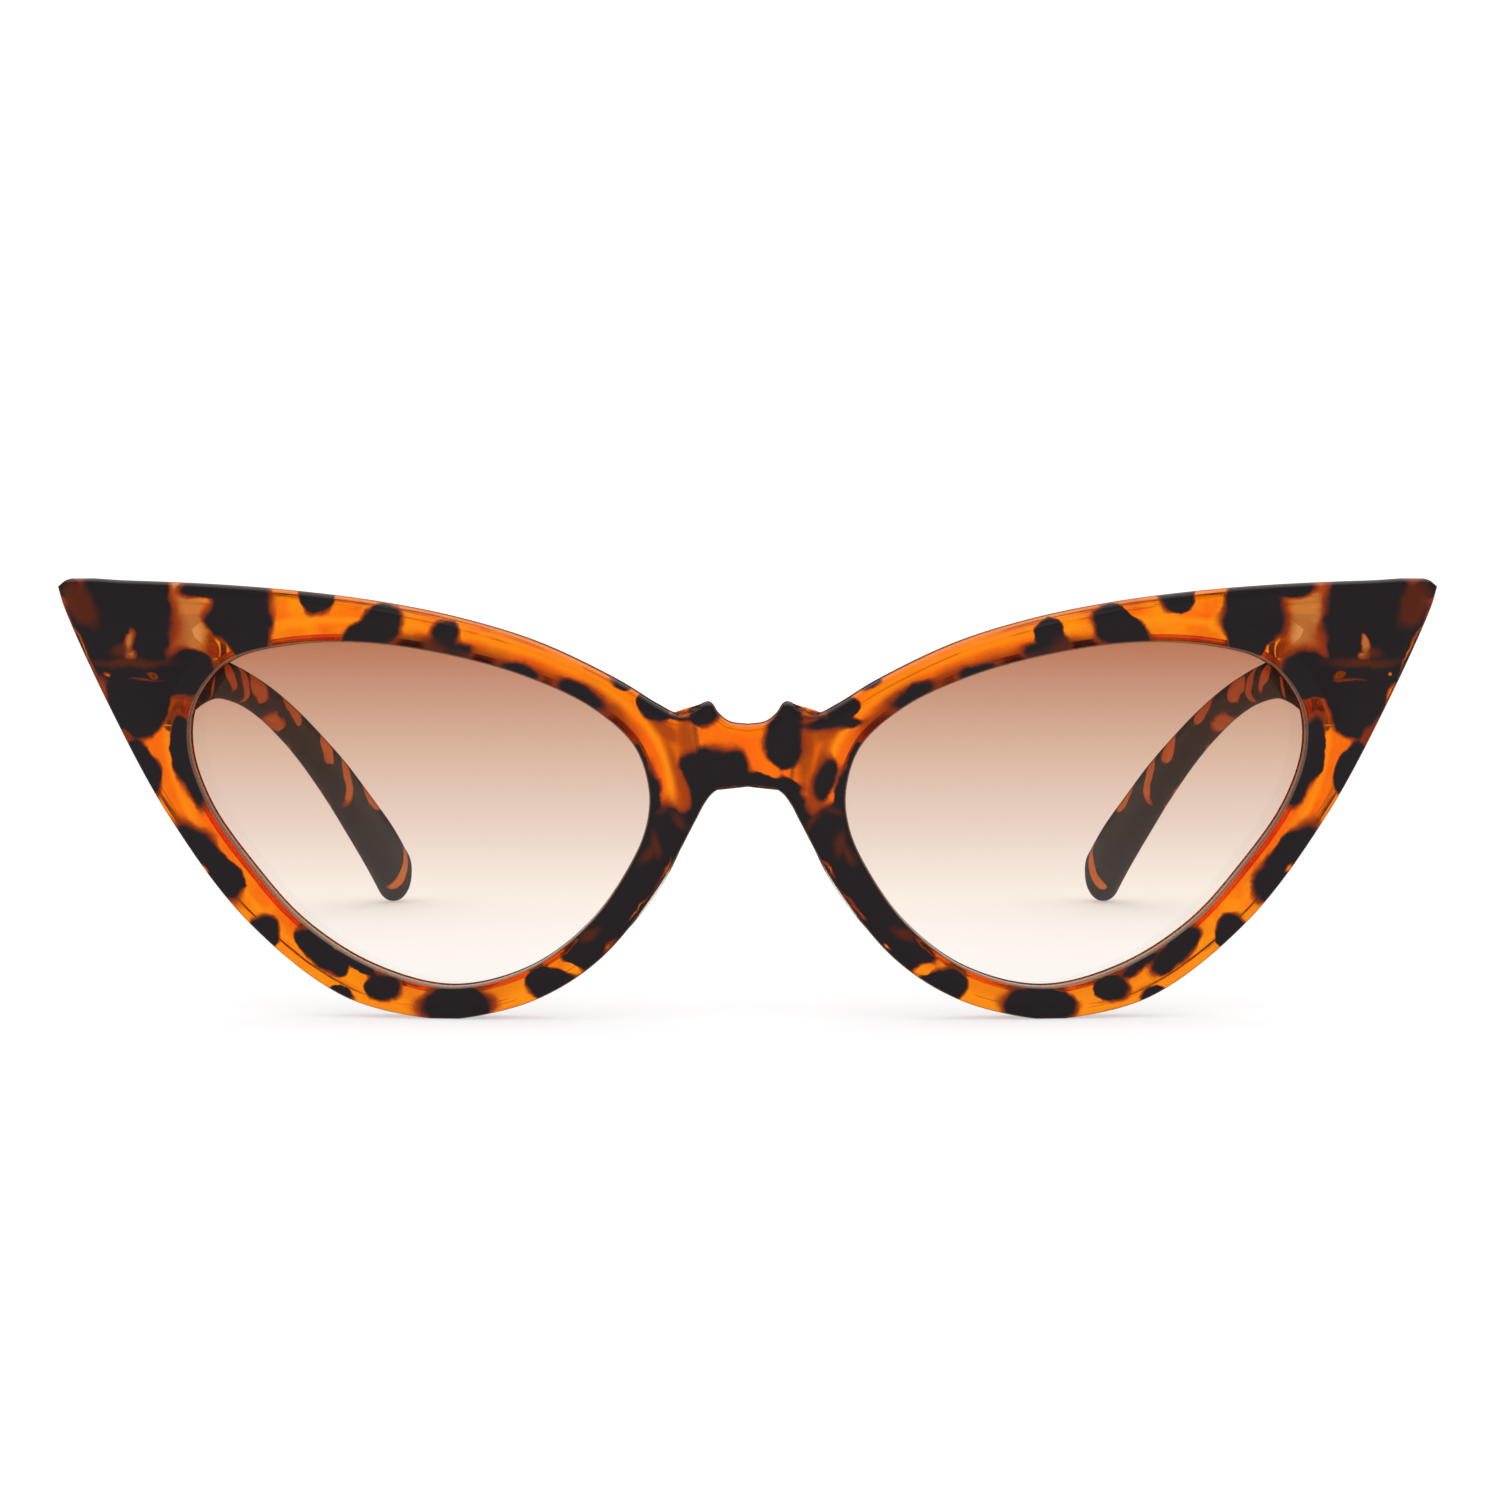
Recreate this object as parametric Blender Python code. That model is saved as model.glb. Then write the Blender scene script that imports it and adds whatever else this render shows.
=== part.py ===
"""Cat eye sunglasses: a moulded front with two lenses and two folding temples.

Sizes are in millimetres and meshes are made in metres through MM.  The front stands
across X, its face looks along -Y, and the temples run back along +Y.  X = 0 is the
plane of symmetry and Z = 0 is the surface that the rims and the temple tips rest on.
Depths are measured back from the foremost point of the bridge, which is at FRONT_Y.
"""
import math

import bmesh
import bpy
import numpy as np

MM = 0.001

# Overall depth, and the face form of the front.
DEPTH = 144.0
FRONT_Y = -DEPTH / 2
WRAP_RADIUS = 330.0

# Section of the rim: thickness, and the rounding of its four long edges.
RIM_THICK = 4.6
FRONT_EDGE_DROP = 1.0
FRONT_EDGE_WIDTH = 1.7
BACK_EDGE_DROP = 0.5
BACK_EDGE_WIDTH = 0.8
EDGE_ROWS = (0.0, 0.12, 0.45, 1.0)

# Lens, and the groove that holds it.
LENS_FRONT = 2.1
LENS_THICK = 1.6
LENS_LAP = 0.6
GAP = 0.3
GROOVE_FRONT = LENS_FRONT - GAP
GROOVE_BACK = LENS_FRONT + LENS_THICK + GAP
GROOVE_DEPTH = LENS_LAP + GAP

# Half of the front's outline as (x, z), from the swept tip over the brow to the middle.
TIP = (73.85, 45.4)
TOP_EDGE = (TIP, (72.6, 46.3), (66.0, 46.15), (56.0, 45.7), (47.4, 45.0), (38.9, 43.9),
            (30.4, 42.2), (21.9, 39.6), (13.5, 35.6), (9.4, 33.1), (7.2, 32.1),
            (5.3, 32.8), (4.1, 33.4), (3.1, 32.3), (1.9, 31.3), (0.0, 31.0))
# The same half from the middle of the bridge, under the rim and up to the swept tip.
LOW_EDGE = ((0.0, 24.5), (1.9, 24.5), (3.9, 23.5), (5.4, 21.0), (9.4, 13.8),
            (15.6, 6.25), (22.4, 2.0), (30.4, 0.0), (33.4, 0.0), (42.6, 2.2),
            (53.1, 10.1), (61.6, 21.1), (67.9, 32.3), (73.1, 43.3), TIP)
# The lens opening, from its nasal side over the top.
OPENING = ((10.3, 24.1), (11.8, 28.7), (16.2, 32.7), (22.7, 35.8), (30.7, 38.1),
           (40.2, 39.5), (49.0, 39.2), (55.0, 37.5), (58.6, 33.3), (59.2, 28.6),
           (57.2, 22.6), (52.4, 15.9), (46.9, 10.0), (39.4, 5.4), (31.0, 3.4),
           (22.8, 5.5), (16.5, 10.3), (12.2, 16.5), (10.6, 20.4))

# Where the rays of the rim's mesh start on the opening and end on the outline, and how
# many there are up to the next pair.
RAYS = (((57.9, 35.0), TIP, 3), ((57.1, 35.9), (72.2, 46.4), 8),
        ((47.0, 39.4), (47.4, 45.0), 8),
        ((22.7, 35.8), (21.9, 39.6), 5), ((14.2, 31.4), (7.2, 32.1), 4),
        ((12.9, 30.1), (4.1, 33.4), 4), ((11.8, 28.7), (0.0, 31.0), 5),
        ((10.3, 23.4), (0.0, 24.5), 4), ((10.7, 20.4), (5.4, 21.0), 6),
        ((16.5, 10.3), (15.6, 6.25), 5), ((29.9, 3.4), (30.4, 0.0), 1),
        ((32.6, 3.4), (33.4, 0.0), 8), ((52.4, 15.9), (53.1, 10.1), 7),
        ((59.1, 30.1), (69.8, 36.1), 3), ((58.3, 34.1), (73.2, 43.3), 2))
MIDDLE_SPANS = 3
BACK_ROWS = (0, 1, 2, -3, -2, -1)

# End block behind each swept tip: a flat that the hinge and the temple's end face.
BLOCK_BACK = 12.6
BLOCK_FRONT = 9.0
BLOCK = ((56.0, 38.1), (56.0, 43.6), (69.8, 44.8), (65.2, 30.6), (61.3, 30.6), (60.3, 35.2))

# Hinge: three knuckles on a vertical pin, with leaf coordinates taken from its axis.
HINGE_X = 61.7
HINGE_DEPTH = BLOCK_BACK + 1.35
HINGE_Z = 40.4
HINGE_TALL = 4.4
KNUCKLE_RADIUS = 1.15
KNUCKLE_TALL = 1.4
KNUCKLE_GAP = 0.1
LEAF_THICK = 0.75
FRONT_LEAF_LONG = 5.1
TEMPLE_LEAF_LONG = 8.6
PIN_RADIUS = 0.5
PIN_HOLE_RADIUS = 0.6
PIN_HEAD_RADIUS = 0.95
PIN_HEAD_TALL = 0.45
FIT = 0.05

# Rivets: distances of the two rivets of each leaf from the hinge axis.
FRONT_RIVETS = (-4.3, -2.3)
TEMPLE_RIVETS = (4.4, 7.2)
RIVET_RADIUS = 0.42
RIVET_HOLE_RADIUS = 0.5
RIVET_HEAD_RADIUS = 0.75
RIVET_HEAD_TALL = 0.35
RIVET_BITE = 1.3

# Temple stations: depth, inner face x, middle z, half height, half thickness.
TEMPLE_STATIONS = ((12.9, 63.5, 37.2, 7.20, 1.70), (18.0, 63.5, 36.6, 6.90, 1.70),
                   (24.0, 63.5, 36.1, 6.10, 1.70), (30.0, 63.2, 35.9, 4.90, 1.65),
                   (37.0, 62.7, 35.8, 3.60, 1.60), (46.0, 62.0, 35.3, 2.50, 1.60),
                   (57.0, 61.1, 34.1, 2.10, 1.60), (68.0, 60.2, 32.2, 2.05, 1.65),
                   (80.0, 59.1, 29.3, 2.20, 1.75), (93.0, 57.6, 25.1, 2.50, 1.85),
                   (107.0, 55.9, 19.8, 3.10, 2.00), (120.0, 54.3, 14.2, 3.80, 2.15),
                   (131.0, 52.9, 8.85, 4.25, 2.30), (139.7, 51.9, 4.42, 4.40, 2.40))
TEMPLE_RINGS = 26
TEMPLE_CORNER = 0.7
TIP_RINGS = (0.35, 0.65, 0.85, 0.96, 1.0)
TIP_LONG = 3.8
TIP_SHRINK = 0.35

# Nose pads: the stretch of the low edge that they line, and their section.
PAD_TOP = (6.6, 18.8)
PAD_LOW = (14.4, 7.5)
PAD_STATIONS = 11
PAD_THICK = 1.9
PAD_DEEP = 5.4
PAD_INSET = 0.1

# Colour, roughness, metallic and transmission of each finish.
FINISHES = {
    "tortoise": ((0.62, 0.20, 0.015, 1.0), 0.18, 0.0, 0.0),
    "lens": ((0.55, 0.33, 0.22, 1.0), 0.05, 0.0, 0.7),
    "steel": ((0.60, 0.58, 0.55, 1.0), 0.28, 1.0, 0.0),
    "clear": ((0.90, 0.84, 0.74, 1.0), 0.15, 0.0, 0.7),
}


def smooth_line(points, steps=12, closed=False):
    """A dense curve through the points: a Catmull-Rom curve with centripetal knots."""
    points = np.array(points, float)
    if closed:
        padded = np.vstack([points[-1], points, points[0], points[1]])
    else:
        first = 2 * points[0] - points[1]
        last = 2 * points[-1] - points[-2]
        padded = np.vstack([first, points, last])
    line = []
    for p0, p1, p2, p3 in zip(padded, padded[1:], padded[2:], padded[3:]):
        t1 = np.linalg.norm(p1 - p0) ** 0.5
        t2 = t1 + np.linalg.norm(p2 - p1) ** 0.5
        t3 = t2 + np.linalg.norm(p3 - p2) ** 0.5
        for t in np.linspace(t1, t2, steps, endpoint=False):
            a1 = p0 + (p1 - p0) * t / t1
            a2 = p1 + (p2 - p1) * (t - t1) / (t2 - t1)
            a3 = p2 + (p3 - p2) * (t - t2) / (t3 - t2)
            b1 = a1 + (a2 - a1) * t / t2
            b2 = a2 + (a3 - a2) * (t - t1) / (t3 - t1)
            line.append(b1 + (b2 - b1) * (t - t1) / (t2 - t1))
    line.append(points[0] if closed else points[-1])
    return np.array(line)


def lengths_along(line):
    """Distance of each point of a line from its start."""
    steps = np.linalg.norm(np.diff(line, axis=0), axis=1)
    return np.concatenate([[0.0], np.cumsum(steps)])


def place_on(line, point):
    """Distance along a line of the vertex nearest to a point."""
    nearest = np.argmin(np.linalg.norm(line - np.array(point), axis=1))
    return lengths_along(line)[nearest]


def point_at(line, distance):
    """The point of a line at a distance along it; an array of distances gives rows."""
    along = lengths_along(line)
    return np.stack([np.interp(distance, along, column) for column in line.T], axis=-1)


def distance_to(line, points):
    """Shortest distance from each point to a line of straight pieces."""
    start = line[:-1]
    step = line[1:] - start
    square = np.maximum((step ** 2).sum(axis=1), 1e-12)
    best = np.full(len(points), np.inf)
    for origin, run, size in zip(start, step, square):
        share = np.clip(((points - origin) @ run) / size, 0.0, 1.0)
        gap = np.linalg.norm(points - origin - share[:, None] * run, axis=1)
        best = np.minimum(best, gap)
    return best


def wrap(x):
    """How far the front curves back at a distance x from its middle."""
    return WRAP_RADIUS - np.sqrt(WRAP_RADIUS ** 2 - np.square(x))


def edge_drop(distance, width, drop):
    """Depth of a rounded edge at a distance from it: a quarter of an ellipse."""
    share = 1.0 - np.clip(distance / width, 0.0, 1.0)
    return drop * (1.0 - np.sqrt(1.0 - share ** 2))


def make_object(name, verts, faces, finish, smooth=35.0):
    """One named object from vertices in millimetres, with its finish."""
    mesh = bpy.data.meshes.new(name)
    mesh.from_pydata([tuple(c * MM for c in v) for v in verts], [], faces)
    bm = bmesh.new()
    bm.from_mesh(mesh)
    bmesh.ops.remove_doubles(bm, verts=bm.verts, dist=0.002 * MM)
    bmesh.ops.recalc_face_normals(bm, faces=bm.faces)
    bm.to_mesh(mesh)
    bm.free()
    mesh.shade_smooth()
    mesh.set_sharp_from_angle(angle=math.radians(smooth))
    obj = bpy.data.objects.new(name, mesh)
    bpy.context.scene.collection.objects.link(obj)
    if finish:
        mesh.materials.append(material_for(name, finish))
    return obj


def material_for(name, finish):
    """A Principled material of one finish, named after its node."""
    colour, roughness, metallic, transmission = FINISHES[finish]
    material = bpy.data.materials.new(name + "_" + finish)
    material.use_nodes = True
    shader = material.node_tree.nodes["Principled BSDF"]
    shader.inputs["Base Color"].default_value = colour
    shader.inputs["Roughness"].default_value = roughness
    shader.inputs["Metallic"].default_value = metallic
    shader.inputs["Transmission Weight"].default_value = transmission
    return material


def as_cutter(obj):
    """Keep an object out of the model: it only shapes another one."""
    obj.hide_render = True
    obj.display_type = "WIRE"
    return obj


def combine(obj, other, operation):
    """Join a solid to an object, or cut it away, with an exact Boolean."""
    modifier = obj.modifiers.new(operation.lower(), "BOOLEAN")
    modifier.operation = operation
    modifier.solver = "EXACT"
    modifier.object = as_cutter(other)


def prism(name, outline, axis, low, high, finish=None):
    """An outline in two axes, extruded along the third between low and high."""
    order = {"x": (2, 0, 1), "y": (0, 2, 1), "z": (0, 1, 2)}[axis]
    verts = []
    for level in (low, high):
        for a, b in outline:
            flat = (a, b, level)
            verts.append(tuple(flat[i] for i in order))
    count = len(outline)
    faces = [tuple(range(count)), tuple(range(count, 2 * count))]
    for i in range(count):
        j = (i + 1) % count
        faces.append((i, j, j + count, i + count))
    return make_object(name, verts, faces, finish)


def circle(cx, cy, radius, sides, start=0.0, end=360.0):
    """Points of an arc; a full circle leaves out its repeated last point."""
    full = end - start >= 360.0
    angles = np.linspace(start, end, sides + 1)
    if full:
        angles = angles[:-1]
    return [(cx + radius * math.cos(math.radians(a)), cy + radius * math.sin(math.radians(a)))
            for a in angles]


def skin(rings):
    """Faces over closed rings of equal size that lie one after another, with both ends."""
    size = len(rings[0])
    verts = [tuple(v) for ring in rings for v in ring]
    faces = []
    for i in range(len(rings) - 1):
        for j in range(size):
            k = (j + 1) % size
            faces.append((i * size + j, i * size + k, (i + 1) * size + k, (i + 1) * size + j))
    faces.append(tuple(range(size)))
    faces.append(tuple(range((len(rings) - 1) * size, len(rings) * size)))
    return verts, faces


class RimPlan:
    """The front's flat plan: one half, as rays from the lens opening to the outline."""

    def __init__(self):
        top = smooth_line(TOP_EDGE)
        low = smooth_line(LOW_EDGE)
        middle = np.linspace(top[-1], low[0], 25)[1:-1]
        self.real_edge = np.vstack([low, top])
        self.loop = np.vstack([top, middle, low])
        self.opening = smooth_line(OPENING, closed=True)
        self.inner, self.outer, self.on_middle = self.cast_rays()

    def cast_rays(self):
        """Ends of every ray, and whether the strip after it ends on the plane x = 0."""
        opening_length = lengths_along(self.opening)[-1]
        loop_length = lengths_along(self.loop)[-1]
        starts = [place_on(self.opening, r[0]) for r in RAYS]
        ends = [place_on(self.loop, r[1]) for r in RAYS]
        ends[0] = 0.0
        inner = []
        outer = []
        on_middle = []
        for i, (_, corner, count) in enumerate(RAYS):
            j = (i + 1) % len(RAYS)
            run_in = (starts[j] - starts[i]) % -opening_length
            run_out = (ends[j] - ends[i]) % loop_length
            crosses = corner[0] == 0.0 and RAYS[j][1][0] == 0.0
            for share in np.linspace(0.0, 1.0, count, endpoint=False):
                if crosses:
                    share = 0.5 - 0.5 * math.cos(math.pi * share)
                inner.append(point_at(self.opening, (starts[i] + share * run_in) % opening_length))
                outer.append(point_at(self.loop, ends[i] + share * run_out))
                on_middle.append(crosses)
        return np.array(inner), np.array(outer), on_middle

    def rows(self):
        """Plan points of every ray from the opening to the outline."""
        run = self.outer - self.inner
        length = np.linalg.norm(run, axis=1)
        near = np.minimum(FRONT_EDGE_WIDTH, 0.46 * length) / length
        shares = [near * e for e in EDGE_ROWS]
        for i in range(1, MIDDLE_SPANS):
            shares.append(near + (1.0 - 2.0 * near) * i / MIDDLE_SPANS)
        shares += [1.0 - near * e for e in reversed(EDGE_ROWS)]
        return np.stack([self.inner + run * s[:, None] for s in shares], axis=1)

    def groove_floor(self):
        """Plan points of the groove's floor, square to the opening."""
        return offset_loop(self.inner, GROOVE_DEPTH)


def offset_loop(loop, distance):
    """A closed loop moved outwards by a distance."""
    tangent = np.roll(loop, -1, axis=0) - np.roll(loop, 1, axis=0)
    tangent /= np.linalg.norm(tangent, axis=1)[:, None]
    normal = np.stack([tangent[:, 1], -tangent[:, 0]], axis=1)
    centre = loop.mean(axis=0)
    if ((loop - centre) * normal).sum() < 0:
        normal = -normal
    return loop + normal * distance


def at_depth(plan, depth):
    """Plan points (x, z) at a depth behind the front's face, as model points."""
    y = FRONT_Y + wrap(plan[..., 0]) + depth
    return np.stack([plan[..., 0], y, plan[..., 1]], axis=-1)


def rim_section(plan):
    """Closed section of every ray: front face, outer wall, back face, grooved wall."""
    rows = plan.rows()
    flat = rows.reshape(-1, 2)
    to_edge = distance_to(plan.real_edge, flat).reshape(rows.shape[:2])
    to_opening = distance_to(plan.opening, flat).reshape(rows.shape[:2])
    near = np.minimum(to_edge, to_opening)
    front = at_depth(rows, edge_drop(near, FRONT_EDGE_WIDTH, FRONT_EDGE_DROP))
    back = at_depth(rows, RIM_THICK - edge_drop(near, BACK_EDGE_WIDTH, BACK_EDGE_DROP))
    back = back[:, list(BACK_ROWS)]
    floor = plan.groove_floor()
    wall = [at_depth(plan.inner, GROOVE_BACK), at_depth(floor, GROOVE_BACK),
            at_depth(floor, GROOVE_FRONT), at_depth(plan.inner, GROOVE_FRONT)]
    return front, back, wall


def front_half(plan):
    """Vertices and faces of the right half (x above zero) of the front."""
    front, back, wall = rim_section(plan)
    rays = len(front)
    columns = [front[:, j] for j in range(front.shape[1])]
    outer_wall = len(columns) - 1
    columns += [back[:, j] for j in reversed(range(back.shape[1]))]
    columns += wall
    verts = np.stack(columns, axis=1)
    width = len(columns)
    faces = []
    for i in range(rays):
        k = (i + 1) % rays
        for j in range(width):
            if j == outer_wall and plan.on_middle[i]:
                continue
            m = (j + 1) % width
            faces.append((i * width + j, k * width + j, k * width + m, i * width + m))
    return verts.reshape(-1, 3), faces


def front_frame():
    """The moulded front in one piece: two rims, the bridge and the two end blocks."""
    verts, faces = front_half(RimPlan())
    mirrored = verts * np.array([-1.0, 1.0, 1.0])
    count = len(verts)
    all_faces = faces + [tuple(v + count for v in reversed(f)) for f in faces]
    frame = make_object("front_frame", np.vstack([verts, mirrored]), all_faces, "tortoise")
    for side in (1, -1):
        outline = [(side * x, z) for x, z in BLOCK]
        block = prism("block", outline, "y", FRONT_Y + BLOCK_FRONT, FRONT_Y + BLOCK_BACK)
        combine(frame, block, "UNION")
    for side in (1, -1):
        for away in FRONT_RIVETS:
            hole = circle(side * (HINGE_X + away), HINGE_Z, RIVET_HOLE_RADIUS, 10)
            deep = FRONT_Y + BLOCK_BACK
            cutter = prism("rivet_hole", hole, "y", deep - RIVET_BITE - GAP, deep + 1.0)
            combine(frame, cutter, "DIFFERENCE")
    return frame


def lens(name, side):
    """A curved lens whose edge lies in the rim's groove."""
    loop = smooth_line(OPENING, closed=True)
    spaced = np.linspace(0.0, lengths_along(loop)[-1], 56, endpoint=False)
    edge = offset_loop(point_at(loop, spaced), LENS_LAP)
    centre = edge.mean(axis=0)
    shares = (0.2, 0.65, 1.0)
    rings = [at_depth(centre + (edge - centre) * s, LENS_FRONT) for s in shares]
    rings += [at_depth(centre + (edge - centre) * s, LENS_FRONT + LENS_THICK)
              for s in reversed(shares)]
    rings = [ring * np.array([side, 1.0, 1.0]) for ring in rings]
    verts, faces = skin(rings)
    return make_object(name, verts, faces, "lens")


def rounded_section(half_tall, half_thick, radius):
    """Points (across, up) of a rounded rectangle."""
    radius = min(radius, half_tall * 0.95, half_thick * 0.95)
    points = []
    for turn, across, up in ((0, 1, 1), (90, -1, 1), (180, -1, -1), (270, 1, -1)):
        centre = (across * (half_thick - radius), up * (half_tall - radius))
        points += circle(*centre, radius, 3, turn, turn + 90)
    return points


def temple_rings(side):
    """Sections of a temple from its hinged end to its rounded tip."""
    stations = smooth_line(TEMPLE_STATIONS, steps=16)
    along = lengths_along(stations[:, [0, 2]])
    picks = np.linspace(0.0, along[-1], TEMPLE_RINGS)
    rows = np.stack([np.interp(picks, along, column) for column in stations.T], axis=1)
    slope = np.gradient(rows[:, 2]) / np.gradient(rows[:, 0])
    square = np.clip((picks - 6.0) / 30.0, 0.0, 1.0)
    rings = []
    for row, run, turn in zip(rows, slope, square):
        rings.append(temple_ring(side, row, run, turn, 0.0, 1.0))
    for share in TIP_RINGS:
        shrink = TIP_SHRINK + (1 - TIP_SHRINK) * math.sqrt(1.0 - share ** 2)
        rings.append(temple_ring(side, rows[-1], slope[-1], 1.0, TIP_LONG * share, shrink))
    return rings


def temple_ring(side, row, slope, turn, ahead, shrink):
    """One section, square to the temple's run as far as turn says."""
    depth, inner, middle, half_tall, half_thick = row
    angle = math.atan(slope)
    lean = angle * turn
    tall = half_tall * (1.0 if turn == 0.0 else math.cos(angle - lean)) * shrink
    ring = []
    for across, up in rounded_section(tall, half_thick * shrink, TEMPLE_CORNER):
        x = inner + half_thick + across
        y = depth + ahead * math.cos(angle) - up * math.sin(lean)
        z = middle + ahead * math.sin(angle) + up * math.cos(lean)
        ring.append((side * x, FRONT_Y + y, z))
    return ring


def temple(name, side):
    """One temple: tall at the hinge, slim along the head, broad behind the ear."""
    verts, faces = skin(temple_rings(side))
    obj = make_object(name, verts, faces, "tortoise")
    for away in TEMPLE_RIVETS:
        hole = circle(FRONT_Y + HINGE_DEPTH + away, HINGE_Z, RIVET_HOLE_RADIUS, 10)
        face = TEMPLE_STATIONS[0][1]
        ends = sorted((side * (face - 1.0), side * (face + RIVET_BITE + GAP)))
        combine(obj, prism("rivet_hole", hole, "x", *ends), "DIFFERENCE")
    return obj


def nose_pad(name, side):
    """A clear pad that carries the rim's nasal wall further back."""
    low = smooth_line(LOW_EDGE)
    start = place_on(low, PAD_TOP)
    end = place_on(low, PAD_LOW)
    shares = 0.5 - 0.5 * np.cos(np.linspace(0.06, 0.94, PAD_STATIONS) * math.pi)
    spine = point_at(low, start + (end - start) * shares)
    tangent = np.gradient(spine, axis=0)
    tangent /= np.linalg.norm(tangent, axis=1)[:, None]
    into_rim = np.stack([-tangent[:, 1], tangent[:, 0]], axis=1)
    rings = []
    for share, point, inward in zip(shares, spine, into_rim):
        swell = math.sin(math.pi * share) ** 0.6
        deep = PAD_DEEP * swell
        thick = PAD_THICK * (0.45 + 0.55 * swell)
        ring = []
        for across, back in rounded_section(deep / 2, thick / 2, 0.6):
            plan = point + inward * (PAD_INSET + PAD_THICK / 2 + across)
            y = FRONT_Y + wrap(point[0]) + RIM_THICK + GAP + deep / 2 + back
            ring.append((side * plan[0], y, plan[1]))
        rings.append(ring)
    verts, faces = skin(rings)
    return make_object(name, verts, faces, "clear")


def hinge_height(share):
    """A height on the hinge: -1 is its bottom end and 1 is its top end."""
    return HINGE_Z + share * HINGE_TALL / 2


def around_axis(points, side):
    """Leaf outline points from the hinge axis, as model (x, y)."""
    axis_y = FRONT_Y + HINGE_DEPTH
    return [(side * (HINGE_X + x), axis_y + y) for x, y in points]


def box_cutter(side, x_range, y_range, z_range):
    """A box from the hinge axis that clears room between knuckles."""
    x0, x1 = x_range
    y0, y1 = y_range
    corners = around_axis(((x0, y0), (x1, y0), (x1, y1), (x0, y1)), side)
    return prism("slot", corners, "z", *z_range)


def pin_hole(side):
    """A cutter for the pin's hole through the knuckles."""
    hole = around_axis(circle(0.0, 0.0, PIN_HOLE_RADIUS, 16), side)
    return prism("pin_hole", hole, "z", hinge_height(-1.3), hinge_height(1.3))


def front_leaf(name, side):
    """The fixed leaf: a plate on the end block, with the two outer knuckles."""
    face = BLOCK_BACK - HINGE_DEPTH + FIT
    knuckle = circle(0.0, 0.0, KNUCKLE_RADIUS, 14, -90.0, 150.0)
    outline = [(-FRONT_LEAF_LONG, face), (-0.5, face)] + knuckle
    outline += [(-1.3, face + LEAF_THICK), (-FRONT_LEAF_LONG, face + LEAF_THICK)]
    leaf = prism(name, around_axis(outline, side), "z", hinge_height(-1), hinge_height(1), "steel")
    reach = KNUCKLE_RADIUS + 0.15
    room = KNUCKLE_TALL / 2 + KNUCKLE_GAP
    slot = box_cutter(side, (-reach, 2.0), (-2.0, 2.0), (HINGE_Z - room, HINGE_Z + room))
    combine(leaf, slot, "DIFFERENCE")
    combine(leaf, pin_hole(side), "DIFFERENCE")
    for away in FRONT_RIVETS:
        hole = circle(side * (HINGE_X + away), HINGE_Z, RIVET_HOLE_RADIUS, 10)
        deep = FRONT_Y + BLOCK_BACK
        combine(leaf, prism("rivet_hole", hole, "y", deep - 1.0, deep + 2.0), "DIFFERENCE")
    return leaf


def temple_leaf(name, side):
    """The moving leaf: a plate on the temple's inner face, with the middle knuckle."""
    face = TEMPLE_STATIONS[0][1] - HINGE_X - FIT
    knuckle = circle(0.0, 0.0, KNUCKLE_RADIUS, 14, 120.0, 360.0)
    outline = knuckle + [(face, 0.8), (face, TEMPLE_LEAF_LONG)]
    outline += [(face - LEAF_THICK, TEMPLE_LEAF_LONG), (face - LEAF_THICK, 1.9)]
    low, high = hinge_height(-0.86), hinge_height(0.86)
    leaf = prism(name, around_axis(outline, side), "z", low, high, "steel")
    for z_range in ((HINGE_Z + KNUCKLE_TALL / 2, high + 1.0), (low - 1.0, HINGE_Z - KNUCKLE_TALL / 2)):
        combine(leaf, box_cutter(side, (-2.0, 3.0), (-2.0, 2.3), z_range), "DIFFERENCE")
    combine(leaf, pin_hole(side), "DIFFERENCE")
    for away in TEMPLE_RIVETS:
        hole = circle(FRONT_Y + HINGE_DEPTH + away, HINGE_Z, RIVET_HOLE_RADIUS, 10)
        ends = sorted((side * (HINGE_X + face + 1.0), side * (HINGE_X + face - 2.0)))
        combine(leaf, prism("rivet_hole", hole, "x", *ends), "DIFFERENCE")
    return leaf


def turned(name, profile, place, finish):
    """A solid of revolution: profile of (radius, height), placed by a point function."""
    sides = 12
    rings = []
    for radius, height in profile:
        rings.append([place(a, b, height) for a, b in circle(0.0, 0.0, radius, sides)])
    verts, faces = skin(rings)
    return make_object(name, verts, faces, finish)


def hinge_screw(name, side):
    """The hinge pin: a screw with a flat head on the top knuckle."""
    top = hinge_height(1) + FIT
    profile = ((PIN_RADIUS, hinge_height(-1)), (PIN_RADIUS, top), (PIN_HEAD_RADIUS, top),
               (PIN_HEAD_RADIUS, top + PIN_HEAD_TALL * 0.7), (PIN_HEAD_RADIUS * 0.8, top + PIN_HEAD_TALL))

    def place(a, b, height):
        return (side * HINGE_X + a, FRONT_Y + HINGE_DEPTH + b, height)

    return turned(name, profile, place, "steel")


def rivet_profile():
    """Radius and height of a rivet above the plastic it bites into."""
    under_head = LEAF_THICK + 2 * FIT
    return ((RIVET_RADIUS, -RIVET_BITE), (RIVET_RADIUS, under_head),
            (RIVET_HEAD_RADIUS, under_head), (RIVET_HEAD_RADIUS * 0.9, under_head + RIVET_HEAD_TALL * 0.6),
            (RIVET_HEAD_RADIUS * 0.5, under_head + RIVET_HEAD_TALL))


def front_rivet(name, side, away):
    """A rivet that holds the fixed leaf on the end block."""
    def place(a, b, height):
        return (side * (HINGE_X + away) + a, FRONT_Y + BLOCK_BACK + height, HINGE_Z + b)

    return turned(name, rivet_profile(), place, "steel")


def temple_rivet(name, side, away):
    """A rivet that holds the moving leaf on the temple's inner face."""
    def place(a, b, height):
        x = TEMPLE_STATIONS[0][1] - height
        return (side * x, FRONT_Y + HINGE_DEPTH + away + a, HINGE_Z + b)

    return turned(name, rivet_profile(), place, "steel")


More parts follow.
